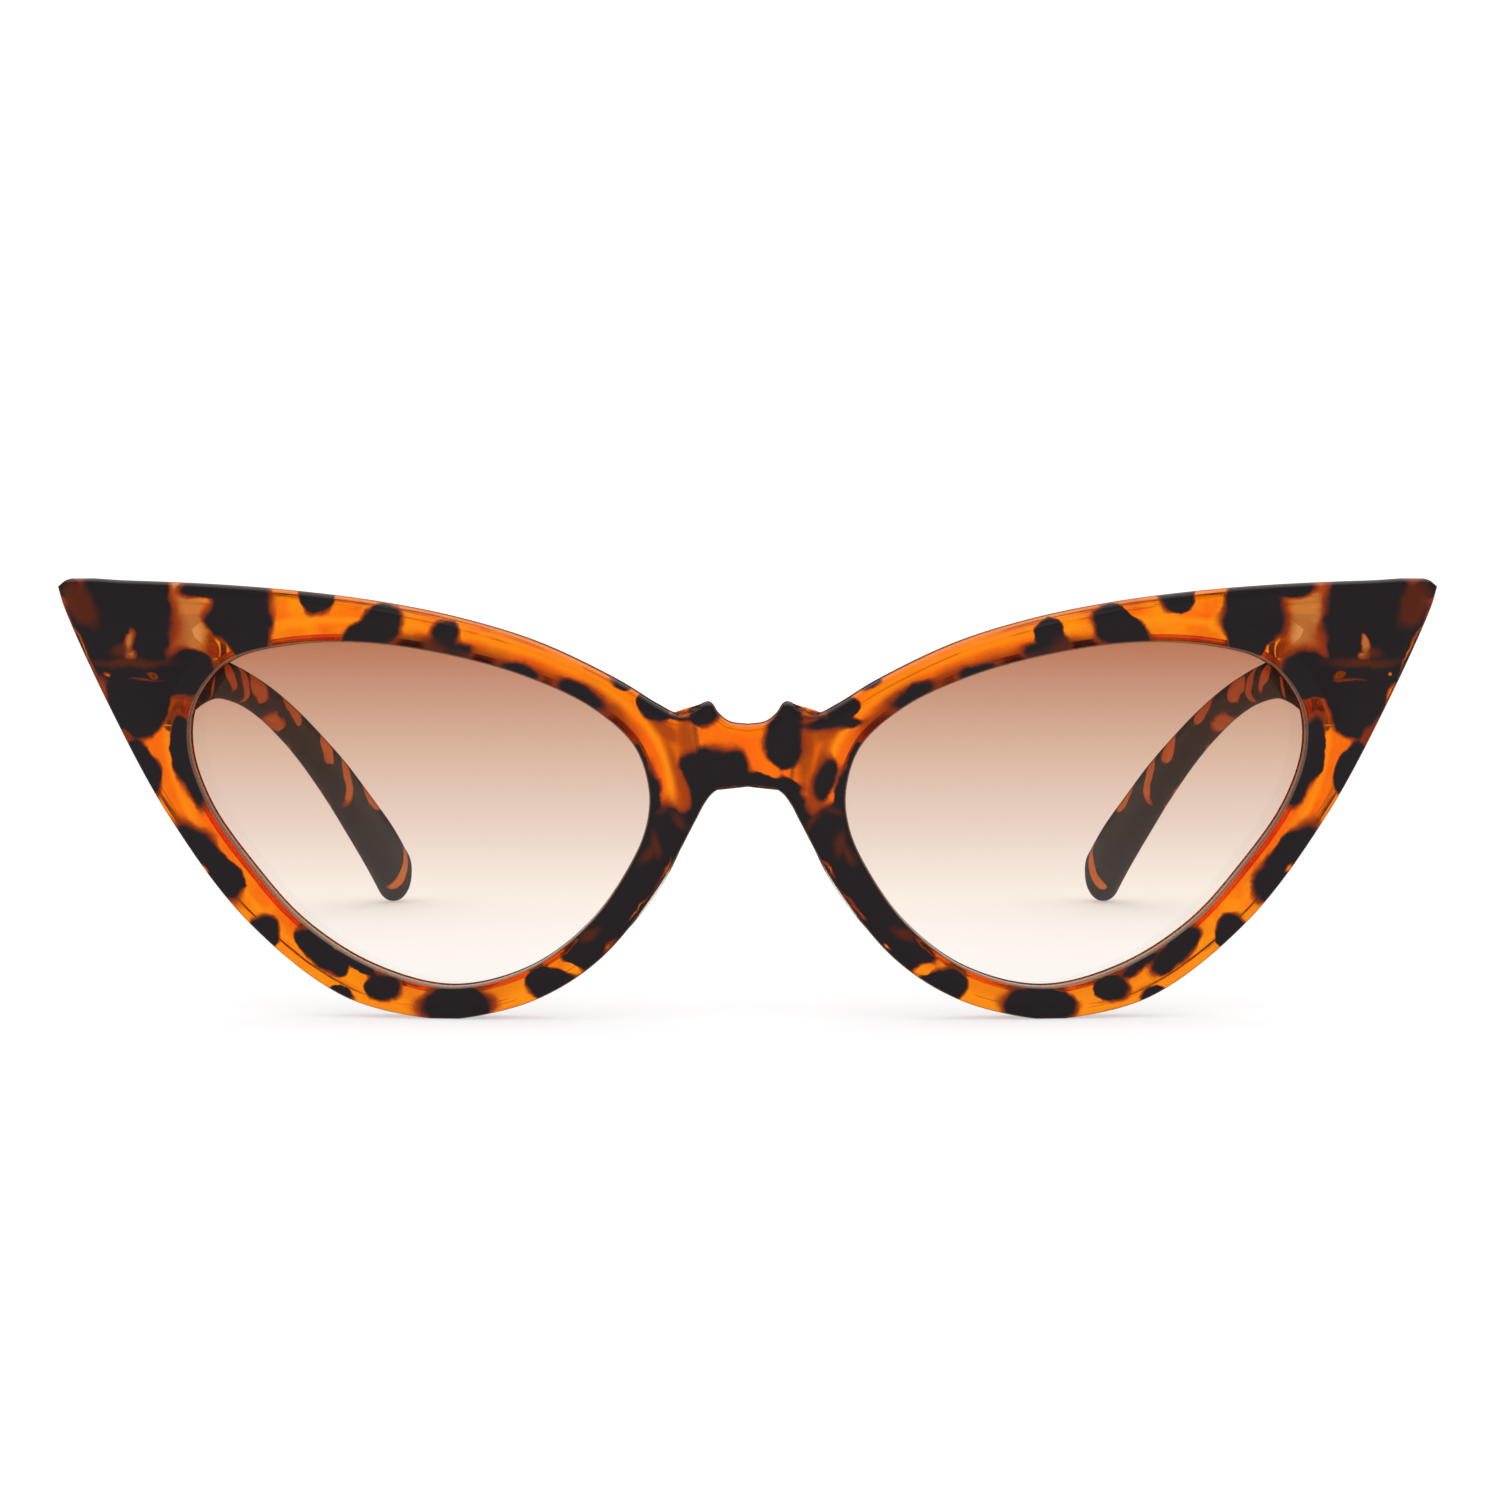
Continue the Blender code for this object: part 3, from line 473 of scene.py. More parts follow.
def wrap(x):
    """How far the front curves back at a distance x from its middle."""
    return WRAP_RADIUS - np.sqrt(WRAP_RADIUS ** 2 - np.square(x))


def at_depth(plan, depth):
    """Plan points (x, z) at a depth behind the front's face, as model points."""
    y = FRONT_Y + wrap(plan[..., 0]) + depth
    return np.stack([plan[..., 0], y, plan[..., 1]], axis=-1)


def offset_loop(loop, distance):
    """A closed loop moved outwards by a distance."""
    tangent = np.roll(loop, -1, axis=0) - np.roll(loop, 1, axis=0)
    tangent /= np.linalg.norm(tangent, axis=1)[:, None]
    normal = np.stack([tangent[:, 1], -tangent[:, 0]], axis=1)
    centre = loop.mean(axis=0)
    if ((loop - centre) * normal).sum() < 0:
        normal = -normal
    return loop + normal * distance


def add_object(name, data):
    """A new object of the scene."""
    obj = bpy.data.objects.new(name, data)
    bpy.context.scene.collection.objects.link(obj)
    return obj


def smooth_shade(mesh, sharp):
    """Smooth shading except at edges sharper than an angle."""
    mesh.shade_smooth()
    mesh.set_sharp_from_angle(angle=math.radians(sharp))


def make_object(name, verts, faces, sharp=SHARP):
    """One named object from vertices in millimetres, smooth except at sharp edges."""
    mesh = bpy.data.meshes.new(name)
    mesh.from_pydata((np.array(verts, float) * MM).tolist(), [], faces)
    bm = bmesh.new()
    bm.from_mesh(mesh)
    bmesh.ops.remove_doubles(bm, verts=bm.verts, dist=WELD * MM)
    bmesh.ops.recalc_face_normals(bm, faces=bm.faces)
    bm.to_mesh(mesh)
    bm.free()
    smooth_shade(mesh, sharp)
    return add_object(name, mesh)


def apply_modifiers(obj):
    """Replace an object's mesh with its evaluated one."""
    graph = bpy.context.evaluated_depsgraph_get()
    mesh = bpy.data.meshes.new_from_object(obj.evaluated_get(graph))
    obj.modifiers.clear()
    obj.data = mesh
    smooth_shade(mesh, SHARP)
    return obj


def combine(obj, others, operation):
    """Join solids to an object, or cut them away, and remove them."""
    for other in others:
        modifier = obj.modifiers.new(operation.lower(), "BOOLEAN")
        modifier.operation = operation
        modifier.solver = "EXACT"
        modifier.object = other
    apply_modifiers(obj)
    for other in others:
        bpy.data.objects.remove(other)
    return obj


def bevel(obj, width):
    """Round an object's sharp edges."""
    modifier = obj.modifiers.new("bevel", "BEVEL")
    modifier.width = width * MM
    modifier.segments = BEVEL_SEGMENTS
    modifier.limit_method = "ANGLE"
    modifier.angle_limit = math.radians(SHARP)
    return apply_modifiers(obj)


def prism(name, outline, axis, low, high):
    """An outline in two axes, extruded along the third between low and high."""
    order = {"x": (2, 0, 1), "y": (0, 2, 1), "z": (0, 1, 2)}[axis]
    verts = []
    for level in (low, high):
        for a, b in outline:
            flat = (a, b, level)
            verts.append(tuple(flat[i] for i in order))
    count = len(outline)
    faces = [tuple(range(count)), tuple(range(count, 2 * count))]
    for i in range(count):
        j = (i + 1) % count
        faces.append((i, j, j + count, i + count))
    return make_object(name, verts, faces)


def circle(cx, cy, radius, sides, start=0.0, end=360.0):
    """Points of an arc; a full circle leaves out its repeated last point."""
    angles = np.radians(np.linspace(start, end, sides + 1))
    if end - start >= 360.0:
        angles = angles[:-1]
    return [(cx + radius * math.cos(a), cy + radius * math.sin(a)) for a in angles]


def skin(rings):
    """Faces over closed rings of equal size that lie one after another, with both ends."""
    size = len(rings[0])
    verts = [tuple(v) for ring in rings for v in ring]
    faces = []
    for i in range(len(rings) - 1):
        for j in range(size):
            k = (j + 1) % size
            faces.append((i * size + j, i * size + k, (i + 1) * size + k, (i + 1) * size + j))
    faces.append(tuple(range(size)))
    faces.append(tuple(range((len(rings) - 1) * size, len(rings) * size)))
    return verts, faces


# ---- the moulded front

class RimPlan:
    """The front's flat plan: one half, as rays from the lens opening to the outline."""

    def __init__(self):
        top = smooth_line(TOP_EDGE)
        low = smooth_line(LOW_EDGE)
        for line in (top, low):
            line[:, 1] = np.clip(line[:, 1], 0.0, TOP_Z)
        middle = np.linspace(top[-1], low[0], CURVE_STEPS)[1:-1]
        self.real_edge = np.vstack([low, top])
        self.loop = np.vstack([top, middle, low])
        self.opening = smooth_line(OPENING, closed=True)
        self.inner, self.outer, self.on_middle = self.cast_rays()

    def cast_rays(self):
        """Ends of every ray, and whether the strip after it ends on the plane x = 0."""
        opening_length = lengths_along(self.opening)[-1]
        loop_length = lengths_along(self.loop)[-1]
        starts = [place_on(self.opening, r[0]) for r in RAYS]
        ends = [place_on(self.loop, r[1]) for r in RAYS]
        ends[0] = 0.0
        inner_at = []
        outer_at = []
        on_middle = []
        for i, (_, corner, count) in enumerate(RAYS):
            j = (i + 1) % len(RAYS)
            run_in = (starts[j] - starts[i]) % -opening_length
            run_out = (ends[j] - ends[i]) % loop_length
            crosses = corner[0] == 0.0 and RAYS[j][1][0] == 0.0
            for share in np.linspace(0.0, 1.0, count, endpoint=False):
                if crosses:
                    share = 0.5 - 0.5 * math.cos(math.pi * share)
                inner_at.append((starts[i] + share * run_in) % opening_length)
                outer_at.append(ends[i] + share * run_out)
                on_middle.append(crosses)
        return point_at(self.opening, inner_at), point_at(self.loop, outer_at), on_middle

    def rows(self, steps, spans):
        """Plan points of every ray: given steps in from both ends, and even spans between."""
        run = self.outer - self.inner
        length = np.linalg.norm(run, axis=1)
        reach = np.minimum(steps[-1], STEPS_SHARE * length)
        shares = [reach / length * (step / steps[-1]) for step in steps]
        near = shares[-1]
        middle = [near + (1.0 - 2.0 * near) * i / spans for i in range(1, spans)]
        shares = shares + middle + [1.0 - share for share in reversed(shares)]
        return np.stack([self.inner + run * share[:, None] for share in shares], axis=1)

    def distances(self, rows):
        """Distance of each row's points from the outline and from the lens opening."""
        flat = rows.reshape(-1, 2)
        to_edge = distance_to(thinned(self.real_edge), flat).reshape(rows.shape[:2])
        to_opening = distance_to(thinned(self.opening), flat).reshape(rows.shape[:2])
        return to_edge, to_opening


def rounding(distance, radius):
    """Depth of a quarter-round edge at a distance from it."""
    share = 1.0 - np.clip(distance / radius, 0.0, 1.0)
    return radius * (1.0 - np.sqrt(1.0 - share ** 2))


def face_depth(to_edge, to_opening):
    """Depth of the front face: ridge round the lens, bevel on the outline, round edges."""
    crest = np.minimum(RIDGE_FROM_LENS, RIDGE_SHARE * (to_edge + to_opening))
    away = (to_opening - crest) / RIDGE_WIDTH
    depth = RIDGE_DROP * (1.0 - 1.0 / (1.0 + away ** 2))
    depth += BEVEL_DROP * np.clip(1.0 - to_edge / BEVEL_WIDTH, 0.0, 1.0)
    return depth + np.maximum(rounding(to_edge, EDGE_ROUND), rounding(to_opening, LIP_ROUND))


def back_depth(to_edge, to_opening):
    """Depth of the back face, with its rounded edges."""
    near = np.minimum(to_edge, to_opening) / BACK_ROUND_WIDTH
    return RIM_THICK - BACK_ROUND * rounding(near, 1.0)


def front_half(plan):
    """Vertices and faces of the right half (x above zero) of the front."""
    rows = plan.rows(EDGE_STEPS, MIDDLE_SPANS)
    to_crease = distance_to(np.array(CREASE), rows.reshape(-1, 2)).reshape(rows.shape[:2])
    crease = CREASE_DEEP * np.exp(-np.square(to_crease / CREASE_WIDE))
    front = at_depth(rows, face_depth(*plan.distances(rows)) + crease)
    rows = plan.rows(BACK_STEPS, BACK_SPANS)
    back = at_depth(rows, back_depth(*plan.distances(rows)))
    floor = offset_loop(plan.inner, GROOVE_DEPTH)
    columns = [front[:, j] for j in range(front.shape[1])]
    outer_wall = len(columns) - 1
    columns += [back[:, j] for j in reversed(range(back.shape[1]))]
    columns += [at_depth(plan.inner, GROOVE_BACK), at_depth(floor, GROOVE_BACK),
                at_depth(floor, GROOVE_FRONT), at_depth(plan.inner, GROOVE_FRONT)]
    verts = np.stack(columns, axis=1)
    rays = len(verts)
    width = len(columns)
    faces = []
    for i in range(rays):
        k = (i + 1) % rays
        for j in range(width):
            if j == outer_wall and plan.on_middle[i]:
                continue
            m = (j + 1) % width
            faces.append((i * width + j, k * width + j, k * width + m, i * width + m))
    return verts.reshape(-1, 3), faces


def front_rivet_holes(side, low, high):
    """Cutters for the fixed leaf's rivets, between two distances behind the end block."""
    back = FRONT_Y + BLOCK_BACK
    holes = []
    for away in FRONT_RIVETS:
        hole = circle(side * (HINGE_X + away), HINGE_Z, RIVET_HOLE_RADIUS, HOLE_SIDES)
        holes.append(prism("rivet_hole", hole, "y", back + low, back + high))
    return holes


def end_block(side):
    """The block behind a swept tip, with its two rivet holes."""
    outline = [(side * x, z) for x, z in BLOCK]
    block = prism("block", outline, "y", FRONT_Y + BLOCK_FRONT, FRONT_Y + BLOCK_BACK)
    bevel(block, BLOCK_BEVEL)
    return combine(block, front_rivet_holes(side, -RIVET_BITE - GAP, PAST), "DIFFERENCE")


def mark_distances(front, plan):
    """Store how far each vertex is from the opening, the outline and the bridge's crease."""
    mesh = front.data
    flat = np.empty(len(mesh.vertices) * 3)
    mesh.vertices.foreach_get("co", flat)
    flat = flat.reshape(-1, 3)[:, [0, 2]] / MM
    flat[:, 0] = np.abs(flat[:, 0])
    lines = {"to_lens": plan.opening, "to_edge": plan.real_edge, "to_crease": CREASE}
    for name, line in lines.items():
        gaps = distance_to(thinned(line), flat)
        mesh.attributes.new(name, "FLOAT", "POINT").data.foreach_set("value", gaps)


def moulded_front():
    """The moulded front in one piece: two rims, the bridge and the two end blocks."""
    plan = RimPlan()
    verts, faces = front_half(plan)
    mirrored = verts * np.array([-1.0, 1.0, 1.0])
    count = len(verts)
    all_faces = faces + [tuple(v + count for v in reversed(face)) for face in faces]
    front = make_object("tortoise_front", np.vstack([verts, mirrored]), all_faces)
    combine(front, [end_block(1), end_block(-1)], "UNION")
    mark_distances(front, plan)
    return front


# ---- lenses, temples, pads

def lens(name, side):
    """A curved lens with rounded edges that lie in the rim's groove."""
    loop = smooth_line(OPENING, closed=True)
    spaced = np.linspace(0.0, lengths_along(loop)[-1], LENS_POINTS, endpoint=False)
    edge = offset_loop(point_at(loop, spaced), LENS_LAP)
    centre = edge.mean(axis=0)
    shares = np.sin(np.linspace(LENS_HUB, 1.0, LENS_RINGS) * math.pi / 2)
    flat = [centre + (edge - centre) * share for share in shares[:-1]]
    rings = [at_depth(ring, LENS_FRONT) for ring in flat]
    for inset, deep in reversed(LENS_ROUND):
        rings.append(at_depth(offset_loop(edge, -inset), LENS_FRONT + deep))
    for inset, deep in LENS_ROUND:
        rings.append(at_depth(offset_loop(edge, -inset), LENS_FRONT + LENS_THICK - deep))
    rings += [at_depth(ring, LENS_FRONT + LENS_THICK) for ring in reversed(flat)]
    verts, faces = skin([ring * np.array([side, 1.0, 1.0]) for ring in rings])
    return make_object(name, verts, faces)


def rounded_section(half_tall, half_thick, radius, oval=1.0, arc=10, flat=3):
    """Points (across, up) of a rounded rectangle, with points along its long sides."""
    wide = min(radius, half_thick * 0.95)
    tall = min(wide * oval, half_tall * 0.95)
    straight = half_tall - tall
    points = []
    for turn, across, up in ((0, 1, 1), (90, -1, 1), (180, -1, -1), (270, 1, -1)):
        for a, b in circle(0.0, 0.0, 1.0, arc, turn, turn + 90):
            points.append((across * (half_thick - wide) + a * wide, up * straight + b * tall))
        if turn in (90, 270):
            for i in range(1, flat + 1):
                points.append((across * half_thick, up * straight * (1 - 2 * i / (flat + 1))))
    return points


def temple_ring(side, row, slope, turn, ahead, shrink):
    """One section, square to the temple's run as far as turn says."""
    depth, inner, middle, half_tall, half_thick = row
    angle = math.atan(slope)
    lean = angle * turn
    tall = half_tall * (1.0 if turn == 0.0 else math.cos(angle - lean)) * shrink
    radius = np.interp(depth, *TEMPLE_ROUNDING)
    oval = np.interp(depth, *TEMPLE_OVAL)
    ring = []
    for across, up in rounded_section(tall, half_thick * shrink, radius, oval):
        x = inner + half_thick + across
        y = depth + ahead * math.cos(angle) - up * math.sin(lean)
        z = middle + ahead * math.sin(angle) + up * math.cos(lean)
        ring.append((side * x, FRONT_Y + y, max(z, 0.0)))
    return ring


def temple_rings(side):
    """Sections of a temple from its hinged end to its rounded tip."""
    stations = smooth_line(TEMPLE_STATIONS)
    along = lengths_along(stations[:, [0, 2]])
    picks = np.linspace(0.0, along[-1], TEMPLE_RINGS)
    rows = np.stack([np.interp(picks, along, column) for column in stations.T], axis=1)
    slope = np.gradient(rows[:, 2]) / np.gradient(rows[:, 0])
    square = np.interp(picks, TEMPLE_TURN, (0.0, 1.0))
    rings = []
    for away, shrink in TEMPLE_START:
        row = rows[0] + (rows[1] - rows[0]) * away
        rings.append(temple_ring(side, row, slope[0], 0.0, 0.0, shrink))
    for row, run, turn in zip(rows[1:], slope[1:], square[1:]):
        rings.append(temple_ring(side, row, run, turn, 0.0, 1.0))
    for angle in np.linspace(0.0, math.pi / 2, TIP_RINGS)[1:]:
        shrink = TIP_SHRINK + (1 - TIP_SHRINK) * math.cos(angle)
        ahead = TIP_LONG * math.sin(angle)
        rings.append(temple_ring(side, rows[-1], slope[-1], 1.0, ahead, shrink))
    return rings


def temple_rivet_holes(side, low, high):
    """Cutters for the moving leaf's rivets, from the temple's inner face outwards."""
    ends = sorted((side * (TEMPLE_INNER + low), side * (TEMPLE_INNER + high)))
    holes = []
    for away in TEMPLE_RIVETS:
        hole = circle(FRONT_Y + HINGE_DEPTH + away, HINGE_Z, RIVET_HOLE_RADIUS, HOLE_SIDES)
        holes.append(prism("rivet_hole", hole, "x", *ends))
    return holes


def temple(name, side):
    """One temple: tall at the hinge, slim along the head, broad behind the ear."""
    verts, faces = skin(temple_rings(side))
    obj = make_object(name, verts, faces, SHARP_MOULDED)
    return combine(obj, temple_rivet_holes(side, -PAST, RIVET_BITE + GAP), "DIFFERENCE")


def nose_pad(name, side):
    """A clear pad that carries the rim's nasal wall further back."""
    low = smooth_line(LOW_EDGE)
    start = place_on(low, PAD_TOP)
    end = place_on(low, PAD_LOW)
    shares = 0.5 - 0.5 * np.cos(np.linspace(*PAD_ENDS, PAD_STATIONS) * math.pi)
    spine = point_at(low, start + (end - start) * shares)
    tangent = np.gradient(spine, axis=0)
    tangent /= np.linalg.norm(tangent, axis=1)[:, None]
    into_rim = np.stack([-tangent[:, 1], tangent[:, 0]], axis=1)
    rings = []
    for share, point, inward in zip(shares, spine, into_rim):
        swell = math.sin(math.pi * share) ** PAD_SWELL
        deep = PAD_DEEP * swell
        thick = PAD_THICK * (PAD_THIN_END + (1 - PAD_THIN_END) * swell)
        ring = []
        for across, back in rounded_section(deep / 2, thick / 2, PAD_ROUND):
            plan = point + inward * (PAD_INSET + PAD_THICK / 2 + across)
            y = FRONT_Y + wrap(point[0]) + RIM_THICK + GAP + deep / 2 + back
            ring.append((side * plan[0], y, plan[1]))
        rings.append(ring)
    verts, faces = skin(rings)
    return make_object(name, verts, faces, SHARP_MOULDED)


# ---- hinges

def hinge_height(share):
    """A height on the hinge: -1 is its bottom end and 1 is its top end."""
    return HINGE_Z + share * HINGE_TALL / 2


def around_axis(points, side):
    """Leaf outline points from the hinge axis, as model (x, y)."""
    axis_y = FRONT_Y + HINGE_DEPTH
    return [(side * (HINGE_X + x), axis_y + y) for x, y in points]


def box_cutter(side, x_range, y_range, z_range):
    """A box from the hinge axis that clears room between knuckles."""
    x0, x1 = x_range
    y0, y1 = y_range
    corners = around_axis(((x0, y0), (x1, y0), (x1, y1), (x0, y1)), side)
    return prism("slot", corners, "z", *z_range)


def pin_hole(side):
    """A cutter for the pin's hole through the knuckles."""
    hole = around_axis(circle(0.0, 0.0, PIN_HOLE_RADIUS, KNUCKLE_SIDES), side)
    ends = (hinge_height(-PIN_HOLE_SHARE), hinge_height(PIN_HOLE_SHARE))
    return prism("pin_hole", hole, "z", *ends)


def front_leaf(name, side):
    """The fixed leaf: a plate on the end block, with the two outer knuckles."""
    face = BLOCK_BACK - HINGE_DEPTH + FIT
    back = face + LEAF_THICK
    near, far = FRONT_LEAF_ROOT
    knuckle = circle(0.0, 0.0, KNUCKLE_RADIUS, KNUCKLE_SIDES, -90.0, 150.0)
    outline = [(-FRONT_LEAF_LONG, face), (near, face)] + knuckle
    outline += [(far, back), (-FRONT_LEAF_LONG, back)]
    leaf = prism(name, around_axis(outline, side), "z", hinge_height(-1), hinge_height(1))
    x_range = (-KNUCKLE_RADIUS - KNUCKLE_CLEAR, KNUCKLE_ROOM)
    half = KNUCKLE_TALL / 2 + KNUCKLE_GAP
    z_range = (HINGE_Z - half, HINGE_Z + half)
    cutters = [box_cutter(side, x_range, (-KNUCKLE_ROOM, KNUCKLE_ROOM), z_range)]
    cutters.append(pin_hole(side))
    cutters += front_rivet_holes(side, -PAST, 2 * PAST)
    combine(leaf, cutters, "DIFFERENCE")
    return bevel(leaf, LEAF_BEVEL)


def temple_leaf(name, side):
    """The moving leaf: a plate on the temple's inner face, with the middle knuckle."""
    face = TEMPLE_INNER - HINGE_X - FIT
    inner = face - LEAF_THICK
    near, far = TEMPLE_LEAF_ROOT
    knuckle = circle(0.0, 0.0, KNUCKLE_RADIUS, KNUCKLE_SIDES, 120.0, 360.0)
    outline = knuckle + [(face, near), (face, TEMPLE_LEAF_LONG)]
    outline += [(inner, TEMPLE_LEAF_LONG), (inner, far)]
    low = hinge_height(-TEMPLE_LEAF_SHARE)
    high = hinge_height(TEMPLE_LEAF_SHARE)
    leaf = prism(name, around_axis(outline, side), "z", low, high)
    half = KNUCKLE_TALL / 2
    x_range = (-KNUCKLE_ROOM, KNUCKLE_ROOM + PAST)
    y_range = (-KNUCKLE_ROOM, TEMPLE_LEAF_ROOM)
    cutters = []
    for z_range in ((HINGE_Z + half, high + PAST), (low - PAST, HINGE_Z - half)):
        cutters.append(box_cutter(side, x_range, y_range, z_range))
    cutters.append(pin_hole(side))
    cutters += temple_rivet_holes(side, -2 * PAST - FIT, PAST - FIT)
    combine(leaf, cutters, "DIFFERENCE")
    return bevel(leaf, LEAF_BEVEL)


def turned(name, profile, place):
    """A solid of revolution: profile of (radius, height), placed by a point function."""
    rings = []
    for radius, height in profile:
        ring = circle(0.0, 0.0, radius, TURNED_SIDES)
        rings.append([place(a, b, height) for a, b in ring])
    verts, faces = skin(rings)
    return make_object(name, verts, faces)


def hinge_screw(name, side):
    """The hinge pin: a screw with a slotted flat head on the top knuckle."""
    top = hinge_height(1) + FIT
    head = top + PIN_HEAD_TALL
    drop = PIN_HEAD_TALL * PIN_ROUND[0]
    inset = PIN_HEAD_RADIUS * PIN_ROUND[1]
    profile = [(PIN_RADIUS, hinge_height(-1)), (PIN_RADIUS, top), (PIN_HEAD_RADIUS, top)]
    for angle in np.linspace(0.0, math.pi / 2, PIN_ROUND_POINTS):
        radius = PIN_HEAD_RADIUS - inset * (1.0 - math.cos(angle))
        profile.append((radius, head - drop + drop * math.sin(angle)))

    def place(a, b, height):
        return (side * HINGE_X + a, FRONT_Y + HINGE_DEPTH + b, height)

    screw = turned(name, profile, place)
    cos, sin = SLOT_TURN
    half = SLOT_WIDE / 2
    long = PIN_HEAD_RADIUS + PAST
    corners = ((-long, -half), (long, -half), (long, half), (-long, half))
    corners = [(a * cos - b * sin, a * sin + b * cos) for a, b in corners]
    slot = prism("slot", around_axis(corners, side), "z", head - SLOT_DEEP, head + PAST)
    return combine(screw, [slot], "DIFFERENCE")


def rivet_profile():
    """Radius and height of a domed rivet above the plastic it bites into."""
    under_head = LEAF_THICK + 2 * FIT
    profile = [(RIVET_RADIUS, -RIVET_BITE), (RIVET_RADIUS, under_head)]
    for angle in np.linspace(0.0, math.pi / 2 * RIVET_DOME, RIVET_DOME_POINTS):
        height = under_head + RIVET_HEAD_TALL * math.sin(angle)
        profile.append((RIVET_HEAD_RADIUS * math.cos(angle), height))
    return profile


def front_rivet(name, side, away):
    """A rivet that holds the fixed leaf on the end block."""
    def place(a, b, height):
        return (side * (HINGE_X + away) + a, FRONT_Y + BLOCK_BACK + height, HINGE_Z + b)

    return turned(name, rivet_profile(), place)


def temple_rivet(name, side, away):
    """A rivet that holds the moving leaf on the temple's inner face."""
    def place(a, b, height):
        x = TEMPLE_INNER - height
        return (side * x, FRONT_Y + HINGE_DEPTH + away + a, HINGE_Z + b)

    return turned(name, rivet_profile(), place)


# ---- materials

class Nodes:
    """Shader nodes of one tree, made and linked by short calls."""

    def __init__(self, tree):
        self.tree = tree

    def put(self, node, key, value):
        """Set an input to a value, or link it to another node's output."""
        socket = node.inputs[key]
        if isinstance(value, bpy.types.NodeSocket):
            self.tree.links.new(value, socket)
        elif socket.type == "RGBA":
            socket.default_value = (*value, 1.0)
        else:
            socket.default_value = value

    def add(self, kind, inputs, output=0, **settings):
        """The output of a new node, made from its settings and its inputs."""
        node = self.tree.nodes.new("ShaderNode" + kind)
        for key, value in settings.items():
            setattr(node, key, value)
        for key, value in inputs.items():
            self.put(node, key, value)
        return node.outputs[output]

    def math(self, operation, *values, **settings):
        """A math node on its values."""
        return self.add("Math", dict(enumerate(values)), operation=operation, **settings)

    def times(self, first, *others):
        """The product of values."""
        for other in others:
            first = self.math("MULTIPLY", first, other)
        return first

    def vector(self, operation, first, second):
        """A vector math node on two places."""
        return self.add("VectorMath", {0: first, 1: second}, operation=operation)

    def scaled(self, place, scale):
        """A place times a number."""
        return self.add("VectorMath", {0: place, "Scale": scale}, operation="SCALE")

    def split(self, place):
        """The x, y and z of a place."""
        node = self.tree.nodes.new("ShaderNodeSeparateXYZ")
        self.put(node, 0, place)
        return node.outputs

    def rays(self):
        """What kinds of ray the surface is seen by."""
        return self.tree.nodes.new("ShaderNodeLightPath").outputs

    def stored(self, name):
        """A distance that the mesh stores at its vertices."""
        return self.add("Attribute", {}, 2, attribute_name=name)

    def ramp(self, factor, stops):
        """A colour ramp of (place, colour) stops."""
        node = self.tree.nodes.new("ShaderNodeValToRGB")
        elements = node.color_ramp.elements
        while len(elements) < len(stops):
            elements.new(0.5)
        for element, (place, colour) in zip(elements, stops):
            element.position = place
            element.color = (*colour, 1.0)
        self.put(node, 0, factor)
        return node.outputs[0]

    def between(self, value, low, high, to_low=0.0, to_high=1.0, kind="SMOOTHSTEP"):
        """A smooth step of a value from one range to another."""
        inputs = {"Value": value, "From Min": low, "From Max": high}
        inputs.update({"To Min": to_low, "To Max": to_high})
        return self.add("MapRange", inputs, interpolation_type=kind)

    def noise(self, place, scale, detail=2.0, output=0):
        """Noise of a scale at a place."""
        inputs = {"Vector": place, "Scale": scale, "Detail": detail}
        return self.add("TexNoise", inputs, output)

    def clouds(self, place, scale, detail, span, values=(0.0, 1.0)):
        """Noise of a scale, with a span of it spread over a range of values."""
        return self.between(self.noise(place, scale, detail), *span, *values)

    def blend(self, factor, first, second):
        """A mix of two colours."""
        return self.add("Mix", {0: factor, 6: first, 7: second}, 2, data_type="RGBA")

    def millimetres(self):
        """The place on the object at rest, in millimetres."""
        return self.scaled(self.add("TexCoord", {}, 3), 1.0 / MM)

    def flat(self, place, mirrored):
        """The flat place (x, z, 0) of a place, mirrored about the middle if asked."""
        x, _, z = self.split(place)
        if mirrored:
            x = self.math("ABSOLUTE", x)
        return self.add("CombineXYZ", {0: x, 1: z})

    def blob(self, place, centre, turn, radii):
        """Rough distance outside an ellipsoid, up to REACH, from a spherical gradient."""
        small = min(radii)
        grown = 1.0 + REACH / small
        size = tuple(radius * grown for radius in radii)
        inputs = {"Vector": place, "Location": centre, "Rotation": turn, "Scale": size}
        inside = self.add("Mapping", inputs, vector_type="TEXTURE")
        share = self.add("TexGradient", {"Vector": inside}, 1, gradient_type="SPHERICAL")
        return self.math("MULTIPLY_ADD", share, -small * grown, REACH)

    def blobs(self, place, ellipsoids):
        """Rough distance outside a group of ellipsoids that run into each other."""
        nearest = None
        for centre, turn, radii in ellipsoids:
            gap = self.blob(place, centre, turn, radii)
            nearest = self.math("SMOOTH_MIN", nearest, gap, BLEND) if nearest else gap
        return nearest

    def blots(self, flat, ellipses):
        """Rough distance outside a group of flat ellipses."""
        solid = []
        for across, up, half_long, half_wide, turn in ellipses:
            angles = (0.0, 0.0, math.radians(turn))
            solid.append(((across, up, 0.0), angles, (half_long, half_wide, 1.0)))
        return self.blobs(flat, solid)


class Finish(Nodes):
    """The nodes of one new material."""

    def __init__(self, name):
        self.material = bpy.data.materials.new(name)
        self.material.use_nodes = True
        super().__init__(self.material.node_tree)

    def shaded(self, inputs):
        """The material, with inputs of its shader set or linked."""
        shader = self.tree.nodes["Principled BSDF"]
        for key, value in inputs.items():
            self.put(shader, key, value)
        return self.material


